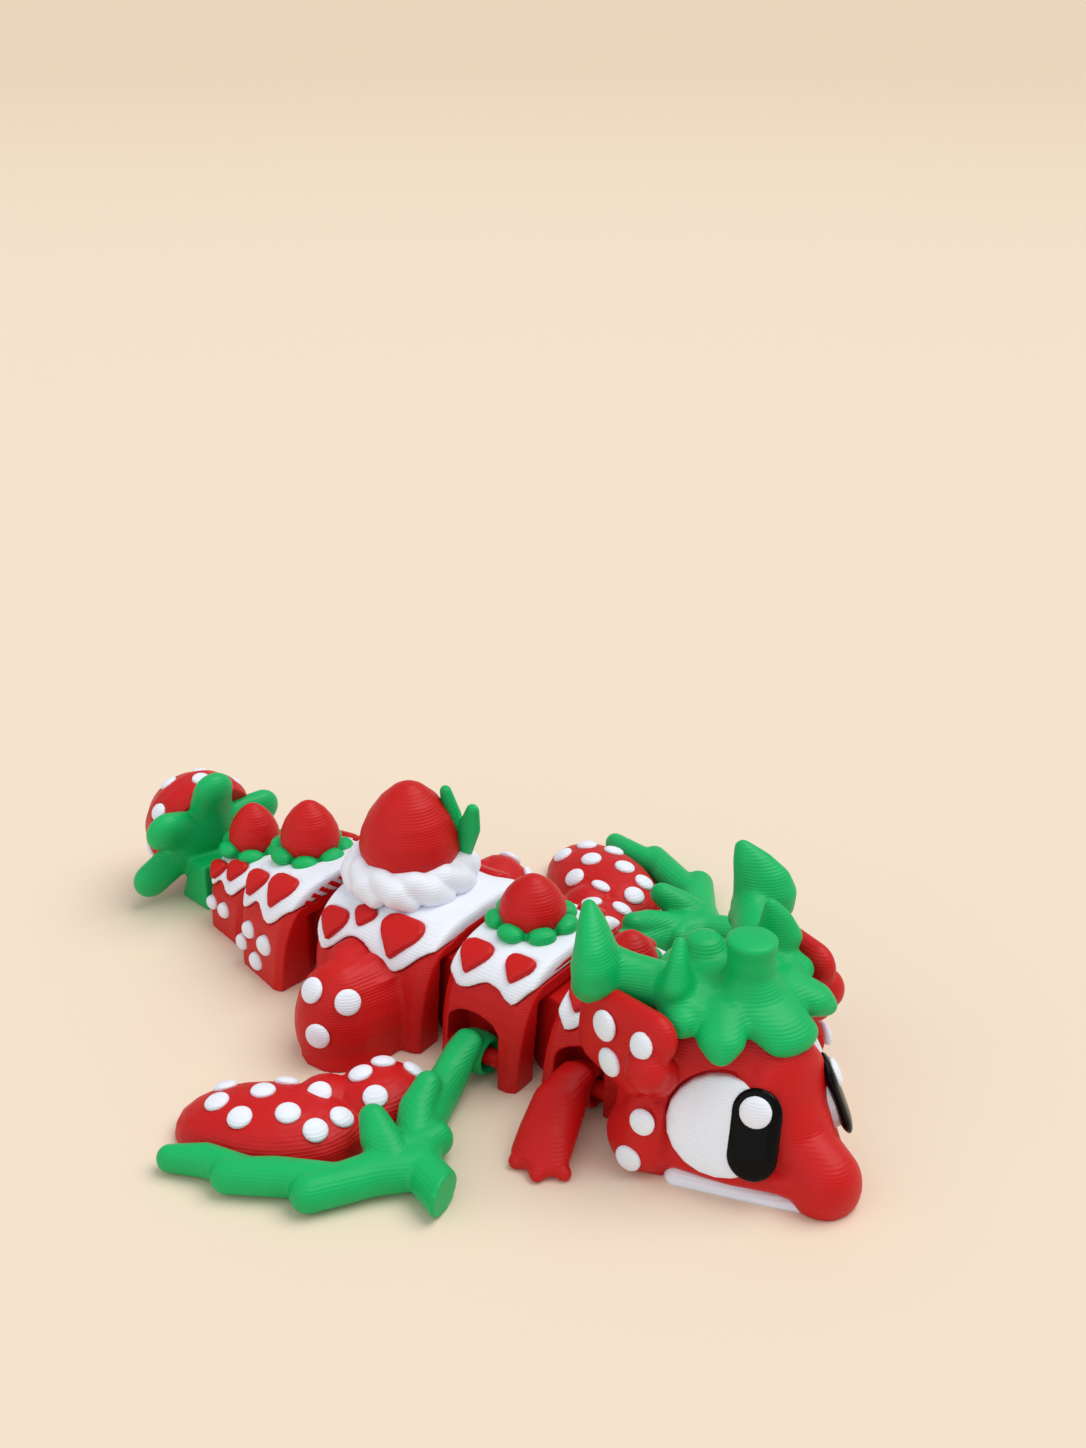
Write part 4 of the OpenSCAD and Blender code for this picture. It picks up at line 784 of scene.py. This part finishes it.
# In the frame of the neck, with x from the level pin of the legs
LEG_X = 7.7
LEG_PIN = (LEG_X, 5.5, 1.9)
LEG = [
    (0.0, 6.5, 3.5, 1.3, 0.7, 0.7),
    (0.0, 7.7, 3.1, 1.5, 1.0, 1.1),
    (0.2, 9.2, 2.5, 2.0, 1.3, 1.5),
    (0.7, 11.6, 1.5, 2.15, 1.3, 1.3),
    (1.0, 13.0, 0.8, 2.2, 1.1, 0.9),
]
FOOT = (1.0, 12.6, 0.8, 1.8, 1.0, 0.9)
TOE_TIPS = [
    (-0.4, 13.8, 0.5, 0.5, 0.5, 0.55),
    (1.6, 14.2, 0.5, 0.5, 0.5, 0.55),
    (3.1, 13.1, 0.5, 0.5, 0.5, 0.55),
]


class DRAGON_OT_legs(bpy.types.Operator):
    """Make the front legs with their three toes"""

    bl_idname = "dragon.legs"
    bl_label = "Front legs"

    def execute(self, context):
        for side, name in SIDES:
            bm = bmesh.new()
            eyelet(bm, LEG_PIN, *HINGE_RING, side)
            for rows in (LEG, *[[FOOT, tip] for tip in TOE_TIPS]):
                limb(bm, [(LEG_X + x, *rest) for x, *rest in rows], side, on_ground=True)
            leg = "front_leg_" + name
            printed_piece(
                "leg_" + name, bm, leg, "red_plastic", leg, voxel=0.15, rounds=4, place=NECK_PLACE
            )
        return {"FINISHED"}


# One swirl, from the inner top of the ring to its outer foot, about the middle of the ring
SWIRL = [
    (3.1, -1.6, 1.9, 0.75, 0.75, 0.75),
    (3.75, -0.7, 1.6, 1.15, 1.15, 1.15),
    (4.2, 0.5, 1.0, 1.2, 1.2, 1.2),
    (4.2, 1.6, 0.4, 0.8, 0.8, 0.8),
]
# How far the ring stands over the foot of the CAD one
RING_LIFT = 0.3


class DRAGON_OT_whipped_ring(bpy.types.Operator):
    """Make the whipped ring of slanted swirls around the large berry"""

    bl_idname = "dragon.whipped_ring"
    bl_label = "Whipped ring"

    def execute(self, context):
        bm = bmesh.new()
        swirls = context.scene.dragon_sizes.swirls
        for i in range(swirls):
            swirl = bmesh.new()
            limb(swirl, SWIRL)
            turn = Matrix.Rotation(2 * math.pi * i / swirls, 4, "Z")
            bmesh.ops.transform(swirl, matrix=turn, verts=swirl.verts)
            join_mesh(bm, swirl)
        lo, hi = cad_box("cream_ring")
        middle = (lo + hi) / 2
        place = Matrix.Translation((middle.x, middle.y, lo.z + RING_LIFT))
        printed_piece(
            "whipped_ring", bm, "hips", "white_plastic", "cream_ring", voxel=0.14, rounds=3, place=place
        )
        return {"FINISHED"}


# Half of a berry's outline, as shares of its radius and its height
BERRY_OUTLINE = (
    (0.0, 0.0),
    (0.62, 0.0),
    (0.84, 0.1),
    (0.97, 0.24),
    (1.0, 0.36),
    (0.95, 0.5),
    (0.8, 0.67),
    (0.57, 0.83),
    (0.3, 0.95),
    (0.12, 0.995),
    (0.0, 1.0),
)
# How far a berry reaches past the CAD one, and how far the foot of the large one stands over it
BERRY_SWELL = 0.1
HIP_BERRY_RAISED = 0.7
# Each berry: its name, its body, its height over the CAD one, its leaves and the turn of the first
BERRIES = (
    ("shoulder", "shoulders", 0.0, 7, 12.0),
    ("neck", "neck", 0.0, 6, 23.0),
    ("tail_front", "tail_front", 0.4, 7, -6.0),
    ("tail_rear", "tail_rear", 0.6, 6, 6.0),
    ("hip", "hips", 0.5, 0, 0.0),
)
# A leaf under a berry runs from its root to its bead: how far out each is, as a share of the berry,
# and its three reaches; the leaves stand at a height that wavers a little round the berry
LEAF_ROOT_AT = 0.8
LEAF_ROOT = (0.6, 0.8, 0.6)
LEAF_BEAD_AT = 1.1
LEAF_BEAD = (0.8, 1.08, 0.68)
LEAF_HEIGHT = 0.75
LEAF_WAVER = 0.1
LEAF_DROOP = 0.05
# The disc between the leaves: its shares of the berry below and above, its depth and its height
DISC_BELOW = 1.05
DISC_ABOVE = 0.95
DISC_DEPTH = 0.6
DISC_HEIGHT = 0.45


def berry(reach, tall):
    """A pointed berry on its foot."""
    bm = bmesh.new()
    outline = [bm.verts.new((reach * r, 0.0, tall * z)) for r, z in BERRY_OUTLINE]
    edges = [bm.edges.new(pair) for pair in zip(outline, outline[1:])]
    bmesh.ops.spin(
        bm, geom=outline + edges, cent=ORIGIN, axis=UP, angle=2 * math.pi, steps=48, use_merge=True
    )
    bmesh.ops.remove_doubles(bm, verts=bm.verts, dist=0.001)
    return bm


def beaded_leaves(reach, count, start):
    """A ring of fat leaves under a berry, a little uneven in height."""
    bm = bmesh.new()
    for i in range(count):
        turn = math.radians(start + 360.0 * i / count)
        out = Vector((math.cos(turn), math.sin(turn)))
        height = LEAF_HEIGHT + LEAF_WAVER * math.cos(3.0 * turn)
        root = (*(out * (reach * LEAF_ROOT_AT)), height, *LEAF_ROOT, math.degrees(turn))
        bead = (*(out * (reach * LEAF_BEAD_AT)), height - LEAF_DROOP, *LEAF_BEAD, math.degrees(turn))
        skin_over(bm, [root, bead])
    bmesh.ops.create_cone(
        bm,
        cap_ends=True,
        segments=32,
        radius1=reach * DISC_BELOW,
        radius2=reach * DISC_ABOVE,
        depth=DISC_DEPTH,
        matrix=Matrix.Translation((0.0, 0.0, DISC_HEIGHT)),
    )
    return bm


class DRAGON_OT_berries(bpy.types.Operator):
    """Make the pointed berries and their beaded leaves"""

    bl_idname = "dragon.berries"
    bl_label = "Berries and leaves"

    def execute(self, context):
        for name, body, taller, leaves, start in BERRIES:
            lo, hi = cad_box(name + "_berry")
            middle = (lo + hi) / 2
            reach = (hi.x - lo.x) / 2 + BERRY_SWELL
            foot = lo.z + (HIP_BERRY_RAISED if name == "hip" else 0.0)
            place = Matrix.Translation((middle.x, middle.y, foot))
            bm = berry(reach, hi.z - foot + taller)
            printed_piece(
                name + "_fruit", bm, body, "red_plastic", name + "_berry", voxel=0.11, rounds=4, place=place
            )
            if leaves:
                bm = beaded_leaves(reach, leaves, start)
                calyx = name + "_calyx"
                printed_piece(
                    name + "_leaves", bm, body, "green_plastic", calyx, voxel=0.11, rounds=4, place=place
                )
        return {"FINISHED"}


HEART_ROWS = (
    ("shoulder", "shoulders"),
    ("neck", "neck"),
    ("hip", "hips"),
    ("tail_front", "tail_front"),
    ("tail_rear", "tail_rear"),
)
# How much a heart swells over the CAD one, so that its softened outline keeps its size
HEART_SWELL = (1.2, 1.2, 1.1)


def plump_heart(left):
    """The tight skin over one heart, which is taken out of the points that are left."""
    heart = bmesh.new()
    found = [left.pop()]
    while found:
        vert = found.pop()
        heart.verts.new(vert.co)
        near = {edge.other_vert(vert) for edge in vert.link_edges} & left
        left -= near
        found.extend(near)
    tighten(heart)
    middle = sum((vert.co for vert in heart.verts), Vector()) / len(heart.verts)
    bmesh.ops.scale(heart, vec=HEART_SWELL, space=Matrix.Translation(-middle), verts=heart.verts)
    return heart


class DRAGON_OT_hearts(bpy.types.Operator):
    """Make the plump hearts on the icing"""

    bl_idname = "dragon.hearts"
    bl_label = "Hearts"

    def execute(self, context):
        for name, body in HEART_ROWS:
            row = cad_copy(name + "_hearts")
            bm = bmesh.new()
            left = set(row.verts)
            while left:
                join_mesh(bm, plump_heart(left))
            row.free()
            printed_piece(
                "hearts_" + name, bm, body, "red_plastic", name + "_hearts", voxel=0.13, rounds=30
            )
        return {"FINISHED"}


# The round haunch and the part of it that runs into the CAD hips, in the frame of the whole toy
HAUNCH = (-10.9, 9.7, 2.4, 3.6, 3.2, 5.0, -35.6)
HAUNCH_ROOT = (-9.5, 6.0, 2.4, 3.2, 2.0, 4.6)
# Each dot on a haunch: degrees round it, degrees up it and how far out, as a share of the haunch;
# a dot is then pressed in toward the body
HAUNCH_DOTS = ((136.5, 43.0, 1.055), (77.0, 37.0, 1.05), (114.0, 6.5, 1.09))
HAUNCH_DOT_REACH = 1.0
HAUNCH_DOT_PRESS = Vector((0.0, 0.2, 0.0))
# The two leaves beside the large berry
BERRY_LEAVES = (
    [
        (-9.2, 2.4, 12.0, 0.7, 0.7, 0.6),
        (-9.6, 2.2, 15.0, 0.85, 0.6, 0.8),
        (-9.9, 1.9, 17.0, 0.5, 0.4, 0.5),
    ],
    [
        (-8.7, 2.4, 12.0, 0.7, 0.7, 0.6),
        (-7.9, 2.2, 14.4, 0.95, 0.6, 0.8),
        (-7.4, 2.0, 16.1, 0.55, 0.4, 0.5),
    ],
)


class DRAGON_OT_hips(bpy.types.Operator):
    """Make the hips with their round haunches, dots and leaves"""

    bl_idname = "dragon.hips"
    bl_label = "Hips"

    def execute(self, context):
        bm = cad_copy("hip_block")
        dots = bmesh.new()
        for side, _ in SIDES:
            skin_over(bm, [HAUNCH, HAUNCH_ROOT], side, on_ground=True)
            for around, up, share in HAUNCH_DOTS:
                over = point_over(HAUNCH, around, up, share)
                outward = way_out(HAUNCH, over)
                lentil(dots, over - HAUNCH_DOT_PRESS, outward, HAUNCH_DOT_REACH, DOT_PROUD, side)
        printed_piece("hips", bm, "hips", "red_plastic", "hip_block", voxel=0.16, rounds=6)
        printed_piece("haunch_dots", dots, "hips", "white_plastic", "hip_dots", voxel=0.12, rounds=2)
        bm = bmesh.new()
        for leaf in BERRY_LEAVES:
            limb(bm, leaf)
        printed_piece("berry_leaves", bm, "hips", "green_plastic", "hip_leaves", voxel=0.12, rounds=5)
        return {"FINISHED"}


# The star stands on the CAD sleeve of the tail tip, which is cut off below it, and leans forward
STAR_CENTRE = (-1.8, 0.0, 5.4)
STAR_LEAN = 22.0
STAR_PLACE = (
    TIP_PLACE @ Matrix.Translation(STAR_CENTRE) @ Matrix.Rotation(math.radians(STAR_LEAN - 90.0), 4, "Y")
)
# Where the sleeve is cut off, measured out from the middle of the star
SLEEVE_BELOW = -1.2
# Each lobe as its turn in the star and how far it reaches
STAR_LOBES = ((-6.0, 7.2), (80.0, 6.9), (-62.0, 7.1), (-120.0, 7.8), (150.0, 6.4))
# A lobe runs out from the middle of the star; the last two rows start from how far out they are
LOBE_ROOT = (0.0, 0.0, -0.2, 2.6, 2.6, 1.4)
LOBE_MIDDLE = (0.0, 0.1, 2.0, 2.0, 1.2)
LOBE_TIP = (0.0, -0.1, 1.65, 1.8, 1.25)
LOBE_TIP_INSIDE = 1.6


class DRAGON_OT_tail_star(bpy.types.Operator):
    """Make the fat lobes of the tail's star"""

    bl_idname = "dragon.tail_star"
    bl_label = "Tail star"

    def execute(self, context):
        bm = bmesh.new()
        for turn, reach in STAR_LOBES:
            lobe = bmesh.new()
            limb(lobe, [LOBE_ROOT, (reach / 2, *LOBE_MIDDLE), (reach - LOBE_TIP_INSIDE, *LOBE_TIP)])
            place = STAR_PLACE @ Matrix.Rotation(math.radians(turn), 4, "Z")
            bmesh.ops.transform(lobe, matrix=place, verts=lobe.verts)
            stand_on_ground(lobe)
            join_mesh(bm, lobe)
        sleeve = cad_copy("tip_calyx")
        cut_flat(sleeve, STAR_PLACE @ Vector((0.0, 0.0, SLEEVE_BELOW)), STAR_PLACE.to_3x3() @ Vector(UP))
        join_mesh(bm, sleeve)
        printed_piece("tail_star", bm, "tail_tip", "green_plastic", "tip_calyx", voxel=0.17, rounds=7)
        return {"FINISHED"}


# The camera of the photograph: its place in millimetres, its angles in degrees and its frame in pixels
CAMERA_PLACE = (63.08, -87.28, 74.99)
CAMERA_AZIMUTH = 35.63
CAMERA_ELEVATION = 24.5
FOCAL_PIXELS = 1700.0
FRAME_HEIGHT = 1448.0
SENSOR = 36.0
# Half the width of the floor in metres, so that its edge stays out of the photograph's view
FLOOR_REACH = 9.0
# Each light: name, strength, spread in degrees, colour and the way to it
LIGHTS = (
    ("window light", 1.8, 50.0, (1.0, 0.985, 0.965), (0.35, 0.35, 1.0)),
    ("bounce card", 0.75, 80.0, (1.0, 1.0, 1.0), (-0.1, -1.0, 0.55)),
)
ROOM_COLOUR = (0.98, 0.99, 1.0, 1.0)
ROOM_STRENGTH = 0.48


class DRAGON_OT_stage(bpy.types.Operator):
    """Make the backdrop, the lights and the camera"""

    bl_idname = "dragon.stage"
    bl_label = "Stage"

    def execute(self, context):
        scene = context.scene
        mesh = bpy.data.meshes.new("backdrop")
        bm = bmesh.new()
        bmesh.ops.create_grid(bm, x_segments=2, y_segments=2, size=FLOOR_REACH)
        bm.to_mesh(mesh)
        bm.free()
        mesh.materials.append(backdrop_paper(scene.dragon_colours.floor, scene.dragon_colours.far_floor_shade))
        floor = bpy.data.objects.new("backdrop", mesh)
        scene.collection.objects.link(floor)
        for name, strength, spread, colour, toward in LIGHTS:
            sun = bpy.data.lights.new(name, "SUN")
            sun.energy = strength
            sun.angle = math.radians(spread)
            sun.color = colour
            lamp = bpy.data.objects.new(name, sun)
            lamp.rotation_euler = Vector(toward).to_track_quat("Z", "Y").to_euler()
            scene.collection.objects.link(lamp)
        room = bpy.data.worlds.new("studio")
        room.use_nodes = True
        background = room.node_tree.nodes["Background"]
        background.inputs["Color"].default_value = ROOM_COLOUR
        background.inputs["Strength"].default_value = ROOM_STRENGTH
        scene.world = room
        lens = bpy.data.cameras.new("camera")
        lens.sensor_width = SENSOR
        lens.lens = SENSOR * FOCAL_PIXELS / FRAME_HEIGHT
        lens.clip_start = MM
        camera = bpy.data.objects.new("camera", lens)
        camera.location = Vector(CAMERA_PLACE) * MM
        camera.rotation_euler = (math.radians(90.0 - CAMERA_ELEVATION), 0.0, math.radians(CAMERA_AZIMUTH))
        scene.collection.objects.link(camera)
        scene.camera = camera
        scene.view_settings.view_transform = "Standard"
        return {"FINISHED"}


class DRAGON_PT_panel(bpy.types.Panel):
    """Cake dragon"""

    bl_label = "Cake Dragon"
    bl_idname = "DRAGON_PT_panel"
    bl_space_type = "VIEW_3D"
    bl_region_type = "UI"
    bl_category = "Cake Dragon"

    def draw(self, context):
        for name in DragonColours.__annotations__:
            self.layout.prop(context.scene.dragon_colours, name)
        for name in DragonSizes.__annotations__:
            self.layout.prop(context.scene.dragon_sizes, name)
        for operator in OPERATORS:
            self.layout.operator(operator.bl_idname)


OPERATORS = (
    DRAGON_OT_plastics,
    DRAGON_OT_cad_pieces,
    DRAGON_OT_crown,
    DRAGON_OT_head,
    DRAGON_OT_eyes,
    DRAGON_OT_wings,
    DRAGON_OT_legs,
    DRAGON_OT_whipped_ring,
    DRAGON_OT_berries,
    DRAGON_OT_hearts,
    DRAGON_OT_hips,
    DRAGON_OT_tail_star,
    DRAGON_OT_stage,
)
CLASSES = (DragonColours, DragonSizes, *OPERATORS, DRAGON_PT_panel)


def register():
    for cls in CLASSES:
        bpy.utils.register_class(cls)
    bpy.types.Scene.dragon_colours = bpy.props.PointerProperty(type=DragonColours)
    bpy.types.Scene.dragon_sizes = bpy.props.PointerProperty(type=DragonSizes)


def unregister():
    del bpy.types.Scene.dragon_colours
    del bpy.types.Scene.dragon_sizes
    for cls in reversed(CLASSES):
        bpy.utils.unregister_class(cls)


def main():
    register()
    bpy.ops.dragon.plastics()
    bpy.ops.dragon.cad_pieces()
    bpy.ops.dragon.crown()
    bpy.ops.dragon.head()
    bpy.ops.dragon.eyes()
    bpy.ops.dragon.wings()
    bpy.ops.dragon.legs()
    bpy.ops.dragon.whipped_ring()
    bpy.ops.dragon.berries()
    bpy.ops.dragon.hearts()
    bpy.ops.dragon.hips()
    bpy.ops.dragon.tail_star()
    bpy.ops.dragon.stage()


if __name__ == "__main__":
    main()
